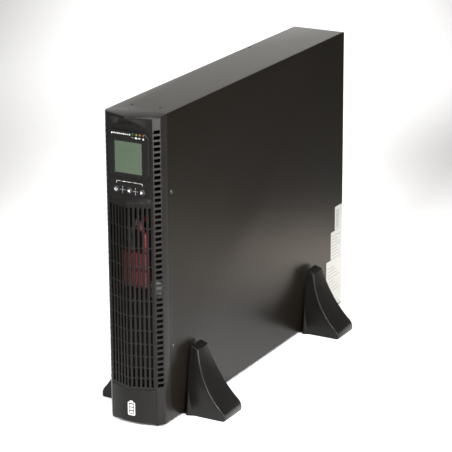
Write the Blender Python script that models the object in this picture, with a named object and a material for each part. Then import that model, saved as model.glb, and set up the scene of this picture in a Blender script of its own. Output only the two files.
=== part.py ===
"""A 2U rack or tower uninterruptible power supply, standing upright on its four tower feet.

The bezel faces -Y, the outlets face +Y and +Z is up. The origin is the middle of the footprint, on the floor.
Every size is in millimetres in the unit's own frame, whose X is centred on the case, whose Y is 0 where the
bezel meets the steel, and whose Z is 0 at the case's underside. The empty "unit" carries that frame.
"""
import math

import bmesh
import bpy
from mathutils import Matrix, Vector

MM = 0.001
GAP = 0.3

# The steel case
UNIT_WIDTH = 86.5
UNIT_HEIGHT = 438.0
CASE_DEPTH = 532.0
SHEET = 1.2
HALF_WIDTH = UNIT_WIDTH / 2
INNER_HALF = HALF_WIDTH - SHEET - GAP
INNER_LOW = SHEET + GAP
INNER_HIGH = UNIT_HEIGHT - SHEET - GAP
BATTERY_BAY_TOP = 214.0

# The plastic bezel: side walls, corner facets and a front that meets in a prow
BEZEL_WALL = 2.4
SIDE_REACH = 16.0
CORNER_X = 35.8
CORNER_REACH = 25.8
PROW_REACH = 38.0
PROW_SLOPE = (PROW_REACH - CORNER_REACH) / CORNER_X
FACET_LENGTH = math.hypot(HALF_WIDTH - CORNER_X, CORNER_REACH - SIDE_REACH)
CAP_HEIGHT = 2.4

# Intake slits in both corner facets
SLIT_COUNT = 47
SLIT_OPENING = 4.8
SLIT_BAR = 3.0
SLIT_BOTTOM = 56.5
SLIT_MARGIN = 1.6

# The grille over the battery bay
GRILLE_BOTTOM = 52.8
GRILLE_TOP = 319.6
SLOT_BOTTOM = 56.0
SLOT_COLUMNS = 11
SLOT_ROWS = 12
SLOT_PITCH = 6.0
SLOT_WIDTH = 3.2
SLOT_BAR = 1.3
TOP_ROW = 29.2
ROW_STEP = 1.4

# The smooth plate under the grille, and the emblem on it
PLATE_REACH = 33.6
PLATE_TOP = 52.4
EMBLEM_Z = 23.0

# The flat control panel, sunk between the lip and the grille
PANEL_REACH = 25.5
PANEL_BOTTOM = 325.0
PANEL_TOP = 425.0
PANEL_EDGE = 320.0
LIP_Z = 435.3
BUTTON_Z = 332.6
BUTTON_PITCH = 20.0
BUTTON_RADIUS = 4.6
BUTTON_PROUD = 0.9

# The square display module, which turns a quarter turn on its hub
DISPLAY_Z = 384.2
DISPLAY_HALF = 31.5
DISPLAY_CHAMFER = 6.2
DISPLAY_THICKNESS = 3.4
DISPLAY_LIFT = 0.4
HUB_RADIUS = 15.0
LCD_SIZE = (43.6, 45.2)
LCD_CENTRE_Z = 379.5
LED_Z = 412.6
LED_PITCH = 5.5
LED_FIRST_X = 7.4
LED_RADIUS = 1.2
LEDS = (("line", "led_green"), ("battery", "led_amber"), ("bypass", "led_amber"), ("fault", "led_red"))

# Tower feet: fins on both sides, whose plates run in under the case. The right ones stand a little off it.
FOOT_PLATE = 3.0
FOOT_PLATE_REACH = 30.0
FOOT_Z = -FOOT_PLATE - GAP
RIGHT_FIN = (48.0, 107.3)
LEFT_FIN = (HALF_WIDTH + GAP, 92.0)
FOOT_HEIGHT = 99.0
FOOT_TOP_WIDTH = 12.0
FOOT_BASE_HALF = 26.5
FOOT_TOP_HALF = 14.0
FRONT_FOOT_Y = 61.0
REAR_FOOT_Y = 416.5

# Battery pack, its two-pole connector and its leads
BATTERY = (65.0, 151.0, 94.0)
TRAY_START = 6.0
LEAD_HOLE_Z = 286.0
LEAD_HOLE_RADIUS = 12.0
LEAD_RADIUS = 3.0
CONNECTOR_X = (-19.5, 16.5)
CONNECTOR_Z = (193.0, 218.0, 243.0)
CONNECTOR_Y = (-17.0, -3.0)

# Electronics: one upright board along the left side
BOARD_X = -35.0
BOARD_THICKNESS = 1.6
BOARD_Y = (60.0, 490.0)
BOARD_Z = (BATTERY_BAY_TOP + 8.0, 425.0)

# Rear panel
REAR = CASE_DEPTH
BREAKER_PROUD = 4.6
FAN_SIZE = 60.0
FAN_DEPTH = 25.0
FAN_BORE = 28.0
FAN_Z = (290.0, 222.0)
BLADE_COUNT = 7
OUTLET_Z = (154.0, 112.0)
OUTLET_X = (-26.5, 0.0, 26.5)
INLET_X = -13.0
INLET_Z = 58.0
BREAKER_X = 27.0
BREAKER_BORE = 4.0

MIDDLE_X = (RIGHT_FIN[1] - LEFT_FIN[1]) / 2
MIDDLE_Y = (REAR + BREAKER_PROUD - PROW_REACH) / 2
ROUND = 24
FLAT_ANGLE = math.radians(0.2)


# ---------------------------------------------------------------------------------------------- helpers

def clear_scene():
    for thing in list(bpy.data.objects):
        bpy.data.objects.remove(thing, do_unlink=True)


def make_material(name, colour, roughness, metallic=0.0):
    material = bpy.data.materials.new(name)
    material.use_nodes = True
    shader = material.node_tree.nodes["Principled BSDF"]
    shader.inputs["Base Color"].default_value = (*colour, 1.0)
    shader.inputs["Roughness"].default_value = roughness
    shader.inputs["Metallic"].default_value = metallic
    return material


def add_object(name, bm, material, origin=(0, 0, 0)):
    """Turn bm, drawn in the unit's frame in millimetres, into an object whose origin is at `origin`."""
    bmesh.ops.translate(bm, vec=-Vector(origin), verts=bm.verts)
    bmesh.ops.scale(bm, vec=(MM, MM, MM), verts=bm.verts)
    bmesh.ops.recalc_face_normals(bm, faces=bm.faces)
    mesh = bpy.data.meshes.new(name)
    bm.to_mesh(mesh)
    bm.free()
    mesh.shade_smooth()
    mesh.set_sharp_from_angle(angle=math.radians(32))
    if material:
        mesh.materials.append(MATERIALS[material])
    thing = bpy.data.objects.new(name, mesh)
    thing.parent = UNIT
    thing.location = Vector(origin) * MM
    bpy.context.collection.objects.link(thing)
    return thing


def box_mesh(bm, low, high):
    size = Vector(high) - Vector(low)
    middle = (Vector(high) + Vector(low)) / 2
    bmesh.ops.create_cube(bm, size=1.0, matrix=Matrix.Translation(middle) @ Matrix.Diagonal((*size, 1.0)))


def box(name, low, high, material, origin=(0, 0, 0)):
    bm = bmesh.new()
    box_mesh(bm, low, high)
    return add_object(name, bm, material, origin)


def along(axis, plane, first, second):
    """A point at `plane` along `axis`, with first and second as its other two, in X, Y, Z order."""
    point = [first, second]
    point.insert("XYZ".index(axis), plane)
    return Vector(point)


def prism_mesh(bm, outline, axis, start, stop):
    """Extrude a closed outline, drawn in the two other axes, from start to stop along axis."""
    ends = [[bm.verts.new(along(axis, plane, *p)) for p in outline] for plane in (start, stop)]
    bm.faces.new(ends[0])
    bm.faces.new(reversed(ends[1]))
    for i in range(len(outline)):
        j = (i + 1) % len(outline)
        bm.faces.new((ends[0][j], ends[0][i], ends[1][i], ends[1][j]))


def prism(name, outline, axis, start, stop, material, origin=(0, 0, 0)):
    bm = bmesh.new()
    prism_mesh(bm, outline, axis, start, stop)
    return add_object(name, bm, material, origin)


def circle(centre, radius, count=ROUND):
    """Points round a circle, for an outline, with none of them on the axes."""
    steps = [math.tau * (i + 0.5) / count for i in range(count)]
    return [(centre[0] + radius * math.cos(a), centre[1] + radius * math.sin(a)) for a in steps]


def chamfered(centre, half_width, half_height, chamfer):
    """A rectangle's outline with its four corners cut off."""
    x, z, c = half_width, half_height, chamfer
    upper = [(x, z - c), (x - c, z), (c - x, z), (-x, z - c)]
    corners = upper + [(-a, -b) for a, b in upper]
    return [(centre[0] + a, centre[1] + b) for a, b in corners]


def carve(target, cutter):
    """Cut cutter's shape out of target."""
    combine(target, cutter, "DIFFERENCE")


def weld_on(target, piece):
    """Make piece one body with target."""
    combine(target, piece, "UNION")


def combine(target, tool, operation):
    tool.hide_render = True
    tool.display_type = "WIRE"
    modifier = target.modifiers.new(tool.name, "BOOLEAN")
    modifier.operation = operation
    modifier.object = tool


def box_tool(target, low, high, operation=carve):
    """Carve a box out of target, or weld one on."""
    number = len(target.modifiers)
    operation(target, box(f"tool_{target.name}_{number}", low, high, None))


def prism_tool(target, outline, axis, start, stop, operation=carve):
    """Carve an extruded outline out of target, or weld one on."""
    number = len(target.modifiers)
    operation(target, prism(f"tool_{target.name}_{number}", outline, axis, start, stop, None))


def lattice(name, place, us, vs, is_open, material, wrap=False):
    """A sheet on the grid us by vs with some cells left open.

    place(u, v, side) gives a point of the front (side 0) or of the back (side 1). is_open(i, j) says whether
    the cell between us[i], us[i + 1] and vs[j], vs[j + 1] is a hole. wrap joins the last column to the first.
    """
    bm = bmesh.new()
    columns = len(us) if wrap else len(us) - 1
    rows = len(vs) - 1
    grid = {}

    def vertex(i, j, side):
        key = (i % len(us), j, side)
        if key not in grid:
            grid[key] = bm.verts.new(place(us[key[0]], vs[j], side))
        return grid[key]

    def is_solid(i, j):
        if wrap:
            i %= columns
        return 0 <= i < columns and 0 <= j < rows and not is_open(i, j)

    for i in range(columns):
        for j in range(rows):
            if not is_solid(i, j):
                continue
            ring = [(i, j), (i + 1, j), (i + 1, j + 1), (i, j + 1)]
            bm.faces.new([vertex(a, b, 0) for a, b in ring])
            bm.faces.new([vertex(a, b, 1) for a, b in reversed(ring)])
            beside = [(i, j - 1), (i + 1, j), (i, j + 1), (i - 1, j)]
            for k, neighbour in enumerate(beside):
                if not is_solid(*neighbour):
                    a, b = ring[k], ring[(k + 1) % 4]
                    bm.faces.new((vertex(*b, 0), vertex(*a, 0), vertex(*a, 1), vertex(*b, 1)))
    if not wrap:
        bmesh.ops.recalc_face_normals(bm, faces=bm.faces)
        bmesh.ops.dissolve_limit(bm, angle_limit=FLAT_ANGLE, verts=bm.verts, edges=bm.edges)
    return add_object(name, bm, material)


def tube(name, route, radius, material, points_per_span=4):
    """A lead that follows a smooth curve through the route's points."""
    curve = bpy.data.curves.new(name, "CURVE")
    curve.dimensions = "3D"
    curve.bevel_depth = radius * MM
    curve.bevel_resolution = 2
    curve.use_fill_caps = True
    smooth = smooth_route([Vector(p) for p in route], points_per_span)
    spline = curve.splines.new("POLY")
    spline.points.add(len(smooth) - 1)
    for point, place in zip(spline.points, smooth):
        point.co = (*(place * MM), 1.0)
    curve.materials.append(MATERIALS[material])
    thing = bpy.data.objects.new(name, curve)
    thing.parent = UNIT
    bpy.context.collection.objects.link(thing)


def smooth_route(points, points_per_span):
    """Points along a Catmull-Rom curve through the given ones."""
    padded = [2 * points[0] - points[1], *points, 2 * points[-1] - points[-2]]
    result = []
    for a, b, c, d in zip(padded, padded[1:], padded[2:], padded[3:]):
        for step in range(points_per_span):
            t = step / points_per_span
            result.append(0.5 * (2 * b + (c - a) * t + (2 * a - 5 * b + 4 * c - d) * t * t
                                 + (3 * b - a - 3 * c + d) * t ** 3))
    result.append(points[-1])
    return result


# ------------------------------------------------------------------------------------------- steel case

def build_case():
    """The base sheet in three panels, the side cover with its screws, and the walls behind the bezel."""
    box("left_panel", (-HALF_WIDTH, 0, INNER_LOW), (-HALF_WIDTH + SHEET, REAR, INNER_HIGH), "steel")
    top = box("top_panel", (-HALF_WIDTH, 0, UNIT_HEIGHT - SHEET), (INNER_HALF, REAR, UNIT_HEIGHT), "steel")
    box("bottom_panel", (-HALF_WIDTH, 0, 0), (INNER_HALF, REAR, SHEET), "steel")
    for x, y in ((-22.5, 20.0), (20.0, 22.5), (-37.0, 377.5)):
        prism_tool(top, circle((x, y), 1.8, 12), "Z", UNIT_HEIGHT - 3, UNIT_HEIGHT + 1)

    cover = box("side_cover", (HALF_WIDTH - SHEET, 0, 0), (HALF_WIDTH, REAR, UNIT_HEIGHT), "steel")
    for name, z in (("upper", 328.5), ("lower", 108.5)):
        prism_tool(cover, circle((8.5, z), 1.9, 12), "X", HALF_WIDTH - 3, HALF_WIDTH + 1)
        head = circle((8.5, z), 3.2)
        screw = prism(f"cover_screw_{name}", head, "X", HALF_WIDTH + GAP, HALF_WIDTH + 1.1, "zinc")
        prism_tool(screw, circle((8.5, z), 1.5, 12), "X", HALF_WIDTH - 4, HALF_WIDTH + 0.6, weld_on)

    bulkhead = box("front_bulkhead", (-INNER_HALF, GAP, BATTERY_BAY_TOP + GAP),
                   (INNER_HALF, GAP + SHEET, INNER_HIGH), "steel")
    prism_tool(bulkhead, circle((0, LEAD_HOLE_Z), LEAD_HOLE_RADIUS), "Y", -1, 3)
    for row in range(6):
        z = 320 + 18 * row
        box_tool(bulkhead, (-25, -1, z), (25, 3, z + 6))
    door = box("battery_door", (-INNER_HALF, GAP, INNER_LOW),
               (INNER_HALF, GAP + SHEET, BATTERY_BAY_TOP), "steel")
    box_tool(door, (12, -1, 176), (34, 3, 200))


# ------------------------------------------------------------------------------------------------ bezel

def prow_reach(x):
    """How far the folded front stands out of the case at x."""
    return PROW_REACH - abs(x) * PROW_SLOPE


def plate_reach(x):
    """How far the smooth lower plate stands out at x: an arc through both corners."""
    bulge = PLATE_REACH - CORNER_REACH
    radius = (CORNER_X ** 2 + bulge ** 2) / (2 * bulge)
    return PLATE_REACH - radius + math.sqrt(radius ** 2 - x ** 2)


def profile_point(u, depth):
    """The bezel's plan at distance u along its skin from the case, on the right: outside 0 or inside 1."""
    run = HALF_WIDTH - CORNER_X
    rise = CORNER_REACH - SIDE_REACH
    through = BEZEL_WALL * FACET_LENGTH / run
    bend_y = -SIDE_REACH + (through - BEZEL_WALL * rise / run) * depth
    wall_x = HALF_WIDTH - BEZEL_WALL * depth
    if u < SIDE_REACH:
        return wall_x, -u
    share = (u - SIDE_REACH) / FACET_LENGTH
    end_y = -CORNER_REACH + through * depth
    return wall_x + share * (CORNER_X - wall_x), bend_y + share * (end_y - bend_y)


def slit_edges():
    """The heights where the corner slits start and stop, from the bottom up."""
    pitch = SLIT_OPENING + SLIT_BAR
    starts = [SLIT_BOTTOM + pitch * k for k in range(SLIT_COUNT)]
    return [edge for start in starts for edge in (start, start + SLIT_OPENING)]


def slot_edges():
    """The heights where the grille's slots start and stop, from the bottom up. Rows grow taller upwards."""
    z = SLOT_BOTTOM
    edges = []
    for k in reversed(range(SLOT_ROWS)):
        pitch = TOP_ROW - ROW_STEP * k
        edges += [z, z + pitch - SLOT_BAR]
        z += pitch
    return edges


def cheek(side):
    """One side wall with its slitted corner facet, as a lattice folded at the facet."""
    facet_start = SIDE_REACH + SLIT_MARGIN
    facet_end = SIDE_REACH + FACET_LENGTH - SLIT_MARGIN
    us = [GAP, SIDE_REACH, facet_start, facet_end, SIDE_REACH + FACET_LENGTH]
    vs = [0.0, *slit_edges(), UNIT_HEIGHT]

    def place(u, v, depth):
        x, y = profile_point(u, depth)
        return Vector((side * x, y, v))

    name = "bezel_frame" if side > 0 else "tool_left_cheek"
    return lattice(name, place, us, vs, lambda i, j: i == 2 and j % 2 == 1, "bezel")


def cap_outline():
    """The bezel's plan: the case's width at the seam, and the prow in front."""
    right = [(HALF_WIDTH, -GAP), (HALF_WIDTH, -SIDE_REACH), (CORNER_X, -CORNER_REACH)]
    return [*right, (0.0, -PROW_REACH), *[(-x, y) for x, y in reversed(right)]]


def build_bezel_frame():
    """Both cheeks, joined by a roof that reaches out to the prow and by a floor."""
    frame = cheek(1)
    weld_on(frame, cheek(-1))
    weld_on(frame, prism("tool_top_cap", cap_outline(), "Z", UNIT_HEIGHT - CAP_HEIGHT, UNIT_HEIGHT, None))
    floor = [(x, y) for x, y in cap_outline() if x]
    weld_on(frame, prism("tool_bottom_cap", floor, "Z", 0, CAP_HEIGHT, None))


def build_grille():
    """Upright bars with cross bars, folded at the middle."""
    middles = [SLOT_PITCH * (k - SLOT_COLUMNS // 2) for k in range(SLOT_COLUMNS)]
    slots = [x + side * SLOT_WIDTH / 2 for x in middles for side in (-1, 1)]
    us = sorted([-CORNER_X + GAP, *slots, CORNER_X - GAP, 0.0])
    vs = [GRILLE_BOTTOM, *slot_edges(), GRILLE_TOP]
    crease = us.index(0.0)

    def place(u, v, depth):
        return Vector((u, -prow_reach(u) + BEZEL_WALL * depth, v))

    def is_open(i, j):
        column = i if i < crease else i - 1
        return j % 2 == 1 and column % 2 == 1
    lattice("front_grille", place, us, vs, is_open, "bezel")


def build_lower_plate():
    """The smooth plate, bowed outwards, and the emblem on it: a plain upright frame."""
    steps = 16
    xs = [(CORNER_X - GAP) * (2 * i / steps - 1) for i in range(steps + 1)]
    outline = [(x, -plate_reach(x)) for x in xs]
    outline += [(x, -plate_reach(x) + BEZEL_WALL) for x in reversed(xs)]
    prism("lower_plate", outline, "Z", CAP_HEIGHT + GAP, PLATE_TOP, "bezel")

    front = PLATE_REACH + GAP
    emblem = prism("emblem", chamfered((0, EMBLEM_Z), 6.0, 11.0, 1.5), "Y", -front - 0.7, -front, "white")
    prism_tool(emblem, chamfered((0, EMBLEM_Z), 4.6, 9.6, 0.8), "Y", -front - 2, -front + 1)


def build_control_panel():
    """A flat plate with a scooped lip above it and a shelf below, both reaching out to the prow."""
    x = CORNER_X - GAP
    back = PANEL_REACH - BEZEL_WALL
    rows = [(PANEL_EDGE - 0.1, True), (PANEL_EDGE + 0.8, True), (PANEL_BOTTOM, False), (PANEL_TOP, False),
            (LIP_Z - 0.8, True), (LIP_Z, True)]
    bm = bmesh.new()
    front = []
    for z, at_prow in rows:
        edge_reach = prow_reach(x) if at_prow else PANEL_REACH
        middle_reach = PROW_REACH if at_prow else PANEL_REACH
        corners = ((-x, -edge_reach, z), (0, -middle_reach, z), (x, -edge_reach, z))
        front.append([bm.verts.new(p) for p in corners])
    for low, high in zip(front, front[1:]):
        for k in (0, 1):
            bm.faces.new((low[k], low[k + 1], high[k + 1], high[k]))
    rear = [[bm.verts.new((s * x, -back, z)) for s in (-1, 0, 1)] for z in (rows[0][0], rows[-1][0])]
    bm.faces.new((rear[0][0], rear[1][0], rear[1][1], rear[1][2], rear[0][2], rear[0][1]))
    bm.faces.new((front[0][0], rear[0][0], rear[0][1], rear[0][2], front[0][2], front[0][1]))
    bm.faces.new((front[-1][0], front[-1][1], front[-1][2], rear[1][2], rear[1][1], rear[1][0]))
    for k in (0, 2):
        for low, high in zip(front, front[1:]):
            bm.faces.new((low[k], high[k], rear[0][k]))
        bm.faces.new((front[-1][k], rear[1][k], rear[0][k]))
    bmesh.ops.triangulate(bm, faces=bm.faces)
    panel = add_object("control_panel", bm, "panel")
    prism_tool(panel, circle((0, DISPLAY_Z), HUB_RADIUS + GAP, 32), "Y", -PANEL_REACH - 1, -back + 1)
    for x in button_places():
        prism_tool(panel, circle((x, BUTTON_Z), BUTTON_RADIUS + GAP, 16), "Y", -PANEL_REACH - 1, -back + 1)


def button_places():
    return [BUTTON_PITCH * k - 2.0 for k in (-1, 0, 1)]


def build_buttons():
    """Three round buttons, each through its own hole in the panel."""
    for name, x in zip(("power", "left", "right"), button_places()):
        where = (x, -PANEL_REACH, BUTTON_Z)
        prism(f"button_{name}", circle((x, BUTTON_Z), BUTTON_RADIUS), "Y",
              -PANEL_REACH - BUTTON_PROUD, -PANEL_REACH + BEZEL_WALL + 2, "rubber", where)


def build_display():
    """The module's housing, its board and window, and four indicator lights, all on the turning axis."""
    axis = (0, -PANEL_REACH, DISPLAY_Z)
    back = -PANEL_REACH - DISPLAY_LIFT
    front = back - DISPLAY_THICKNESS
    outline = chamfered((0, DISPLAY_Z), DISPLAY_HALF, DISPLAY_HALF, DISPLAY_CHAMFER)
    housing = prism("display_housing", outline, "Y", front, back, "panel", axis)
    prism_tool(housing, circle((0, DISPLAY_Z), HUB_RADIUS), "Y", back - 1, -PANEL_REACH + 5, weld_on)
    half_w, half_h = LCD_SIZE[0] / 2, LCD_SIZE[1] / 2
    window_back = front + 1.4
    box_tool(housing, (-half_w, front - 1, LCD_CENTRE_Z - half_h),
             (half_w, window_back, LCD_CENTRE_Z + half_h))
    box("display_window", (-half_w + GAP, front + 0.2, LCD_CENTRE_Z - half_h + GAP),
        (half_w - GAP, window_back - GAP, LCD_CENTRE_Z + half_h - GAP), "lcd", axis)
    for k, (name, material) in enumerate(LEDS):
        centre = (LED_FIRST_X + LED_PITCH * k, LED_Z)
        prism_tool(housing, circle(centre, LED_RADIUS + GAP, 12), "Y", front - 1, window_back)
        lens = circle(centre, LED_RADIUS, 12)
        prism(f"led_{name}", lens, "Y", front - 0.2, window_back - GAP, material, axis)
    prism("display_board", circle((0, DISPLAY_Z), HUB_RADIUS - 3), "Y", -PANEL_REACH + 5 + GAP,
          -PANEL_REACH + 6.6 + GAP, "circuit_board", axis)


# ------------------------------------------------------------------------------------------ tower feet

def foot_outline(inner, reach):
    """The fin's outer edge from the toe up: a rounded toe, a hollow sweep to the shoulder, then the top."""
    toe = Vector((reach - 4.9, 15.6))
    shoulder = Vector((inner + FOOT_TOP_WIDTH, FOOT_HEIGHT - 4.2))
    pull = Vector((inner + 0.375 * (reach - inner), 46.0))
    sweep = []
    for k in range(7):
        t = k / 6
        sweep.append((1 - t) ** 2 * toe + 2 * t * (1 - t) * pull + t * t * shoulder)
    rounded = [Vector((reach - 0.5, 0)), Vector((reach, 6.4)), Vector((reach - 1.3, 11.4))]
    return rounded + sweep + [Vector((inner, FOOT_HEIGHT))]


def build_foot(name, side, y):
    """A fin beside the case, which tapers towards its top, on a plate that runs in under the case."""
    inner, reach = RIGHT_FIN if side > 0 else LEFT_FIN
    bm = bmesh.new()
    rows = []
    for x, z in foot_outline(inner, reach):
        half = FOOT_BASE_HALF + (FOOT_TOP_HALF - FOOT_BASE_HALF) * (z / FOOT_HEIGHT) ** 2
        height = z + FOOT_Z
        ring = ((inner, -half), (x, -half), (x, half), (inner, half))
        if x == inner:
            ring = (ring[0], ring[3])
        rows.append([bm.verts.new((side * a, y + b, height)) for a, b in ring])
    top = rows.pop()
    bm.faces.new(rows[0])
    for low, high in zip(rows, rows[1:]):
        for k in range(4):
            m = (k + 1) % 4
            bm.faces.new((low[k], low[m], high[m], high[k]))
    front_inner, front_outer, rear_outer, rear_inner = rows[-1]
    bm.faces.new((front_inner, front_outer, top[0]))
    bm.faces.new((front_outer, rear_outer, top[1], top[0]))
    bm.faces.new((rear_outer, rear_inner, top[1]))
    bm.faces.new((rear_inner, front_inner, top[0], top[1]))
    foot = add_object(name, bm, "foot")
    ends = sorted((side * (inner + 6), side * (HALF_WIDTH - FOOT_PLATE_REACH)))
    box_tool(foot, (ends[0], y - FOOT_BASE_HALF, FOOT_Z),
             (ends[1], y + FOOT_BASE_HALF, FOOT_Z + FOOT_PLATE), weld_on)


# ---------------------------------------------------------------------------------------- battery pack

def build_batteries():
    """Four batteries in a tray that is open towards the side cover, two high and two deep."""
    left = -HALF_WIDTH + SHEET + 2 * GAP
    front = low = TRAY_START
    deep = 2 * BATTERY[1] + 6
    tall = 2 * BATTERY[2] + 6
    tray = box("battery_tray", (left, front, low), (left + BATTERY[0] + 4, front + deep, low + tall), "zinc")
    box_tool(tray, (left + SHEET, front + SHEET, low + SHEET),
             (left + BATTERY[0] + 9, front + deep - SHEET, low + tall - SHEET))
    for column in range(2):
        for row in range(2):
            start = (left + SHEET + GAP, front + SHEET + GAP + column * (BATTERY[1] + 1),
                     low + SHEET + GAP + row * (BATTERY[2] + 1))
            stop = [a + b for a, b in zip(start, BATTERY)]
            cell = box(f"battery_{2 * column + row + 1}", start, stop, "battery")
            for z in (start[2] + 12, stop[2] - 18):
                box_tool(cell, (stop[0] - 1, start[1] + 6, z), (stop[0] + 5, start[1] + 7, z + 6), weld_on)


def build_leads():
    """The battery's two-pole plug hangs in front of the door, and its leads go in through the bulkhead."""
    for name, low, high in (("battery", *CONNECTOR_Z[:2]), ("unit", *CONNECTOR_Z[1:])):
        half = box(f"connector_{name}_side", (CONNECTOR_X[0], CONNECTOR_Y[0], low + GAP / 2),
                   (CONNECTOR_X[1], CONNECTOR_Y[1], high - GAP / 2), "red_plastic")
        edge = half.modifiers.new("soft_edge", "BEVEL")
        edge.width = 1.2 * MM
        edge.segments = 1
    middle_y = sum(CONNECTOR_Y) / 2
    for name, x, end_x, reach in (("red", 13.0, 4.5, 0.0), ("black", -11.0, -4.5, 2.0)):
        top = CONNECTOR_Z[2] + GAP
        route = [(x, middle_y, top), (x, middle_y, top + 9), (x, middle_y - reach, top + 22),
                 (end_x, middle_y + 2, LEAD_HOLE_Z - 7), (end_x, 0, LEAD_HOLE_Z), (end_x, 16, LEAD_HOLE_Z),
                 (end_x - 12, 44, LEAD_HOLE_Z + 4)]
        tube(f"battery_lead_{name}", route, LEAD_RADIUS, f"{name}_insulation")


# ---------------------------------------------------------------------------------------- electronics

def comb_outline(x, z, fins, pitch, height, base):
    """A heatsink's section: a base plate and upright fins."""
    points = [(x, z)]
    for k in range(fins):
        low = z + k * pitch
        high = low + 2
        points += [(x + height, low), (x + height, high)]
        points += [(x + base, high), (x + base, low + pitch)] if k < fins - 1 else [(x, high)]
    return points


def ring_mesh(bm, centre, major, minor, width, around=24):
    """A wound toroid standing off the board: a thick ring about the X axis."""
    inner, outer = major - minor, major + minor
    section = [(inner, -width), (outer, -width), (outer, width), (inner, width)]
    rings = []
    for k in range(around):
        a = math.tau * k / around
        rings.append([bm.verts.new((centre[0] + w, centre[1] + r * math.cos(a), centre[2] + r * math.sin(a)))
                      for r, w in section])
    for k, ring in enumerate(rings):
        following = rings[(k + 1) % around]
        for i in range(4):
            j = (i + 1) % 4
            bm.faces.new((ring[i], ring[j], following[j], following[i]))


def build_electronics():
    """The board on its four standoffs, with heatsinks, a transformer, a choke and two capacitors."""
    board = box("main_board", (BOARD_X, BOARD_Y[0], BOARD_Z[0]),
                (BOARD_X + BOARD_THICKNESS, BOARD_Y[1], BOARD_Z[1]), "circuit_board")
    left = -HALF_WIDTH + SHEET + GAP
    for y in (BOARD_Y[0] + 10, BOARD_Y[1] - 10):
        for z in (BOARD_Z[0] + 6, BOARD_Z[1] - 6):
            prism_tool(board, circle((y, z), 3.0, 12), "X", left, BOARD_X + 0.8, weld_on)
    face = BOARD_X + BOARD_THICKNESS + GAP
    for name, z in (("upper", 372.0), ("lower", 300.0)):
        prism(f"heatsink_{name}", comb_outline(face, z, 8, 6.0, 44.0, 4.0), "Y", 230, 400, "aluminium")
    winding = box("transformer", (face, 90, 330), (face + 46, 150, 380), "winding")
    box_tool(winding, (face + 6, 80, 342), (face + 40, 160, 368), weld_on)
    bm = bmesh.new()
    ring_mesh(bm, (face + 11, 190, 265), 20.0, 8.0, 10.0)
    add_object("choke", bm, "copper")
    for k, y in enumerate((110.0, 146.0)):
        prism(f"capacitor_{k + 1}", circle((y, 262), 15.0), "X", face, face + 45, "capacitor")


# ------------------------------------------------------------------------------------------ rear panel

def build_rear_panel():
    """The rear wall with an opening for each fan, outlet, inlet and port."""
    panel = box("rear_panel", (-INNER_HALF, REAR - SHEET, INNER_LOW), (INNER_HALF, REAR, INNER_HIGH), "steel")
    near, far = REAR - SHEET - 1, REAR + 1
    for z in FAN_Z:
        prism_tool(panel, circle((0, z), FAN_BORE), "Y", near, far)
    for z in OUTLET_Z:
        for x in OUTLET_X:
            box_tool(panel, (x - 12.2, near, z - 16), (x + 12.2, far, z + 16))
    box_tool(panel, (INLET_X - 15, near, INLET_Z - 11), (INLET_X + 15, far, INLET_Z + 11))
    prism_tool(panel, circle((BREAKER_X, INLET_Z), 6.4), "Y", near, far)
    box_tool(panel, (-34, near, 357), (-6, far, 409))
    for low, high in (((8, 404), (34, 417)), ((14, 380), (27, 392)), ((13, 356), (28, 368))):
        box_tool(panel, (low[0], near, low[1]), (high[0], far, high[1]))


def build_fan(name, z):
    """An axial fan: a square frame with a round duct, a bladed rotor on its axis and a ring guard outside."""
    half = FAN_SIZE / 2
    front, back = REAR - SHEET - GAP - FAN_DEPTH, REAR - SHEET - GAP
    frame = box(f"fan_frame_{name}", (-half, front, z - half), (half, back, z + half), "fan")
    prism_tool(frame, circle((0, z), FAN_BORE), "Y", front - 1, back + 1)
    strut = FAN_BORE + 0.8
    box_tool(frame, (-strut, front, z - 1.5), (strut, front + 3, z + 1.5), weld_on)
    box_tool(frame, (-1.5, front, z - strut), (1.5, front + 3, z + strut), weld_on)
    prism_tool(frame, circle((0, z), 12.0), "Y", front, front + 3, weld_on)

    axis = (0, (front + back) / 2, z)
    rotor = prism(f"fan_rotor_{name}", circle((0, z), 12.0), "Y", front + 3 + GAP, back - 2, "fan", axis)
    for k in range(BLADE_COUNT):
        blade = fan_blade(f"tool_blade_{name}_{k}", z, math.tau * k / BLADE_COUNT, front + 5, back - 4)
        weld_on(rotor, blade)

    rings = [7.0, 8.4, 13.6, 15.0, 20.2, 21.6, 26.8, 28.4]
    spokes = 4
    steps = 16
    spoke_turn = 0.04
    us = []
    for k in range(steps):
        turn = math.tau * k / steps
        us += [turn - spoke_turn, turn + spoke_turn] if k % (steps // spokes) == 0 else [turn]

    def place(u, v, depth):
        return Vector((v * math.cos(u), REAR + GAP + 1.2 - 1.2 * depth, z + v * math.sin(u)))

    def is_open(i, j):
        spoke = i % (steps // spokes + 1) == 0
        return j % 2 == 1 and not spoke
    lattice(f"fan_guard_{name}", place, us, rings, is_open, "zinc", wrap=True)


def fan_blade(name, z, turn, front, back):
    """A twisted blade from the hub to just inside the duct."""
    bm = bmesh.new()
    rows = []
    for radius, sweep in ((11.0, 0.32), (19.0, 0.27), (FAN_BORE - 1.2, 0.22)):
        ring = []
        for y, angle in ((front, turn - sweep), (back, turn + sweep)):
            for thick in (-0.6, 0.6):
                a = angle + thick / radius
                ring.append(bm.verts.new((radius * math.cos(a), y, z + radius * math.sin(a))))
        rows.append([ring[0], ring[1], ring[3], ring[2]])
    bm.faces.new(rows[0])
    bm.faces.new(rows[-1])
    for low, high in zip(rows, rows[1:]):
        for k in range(4):
            m = (k + 1) % 4
            bm.faces.new((low[k], low[m], high[m], high[k]))
    return add_object(name, bm, None)


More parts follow.
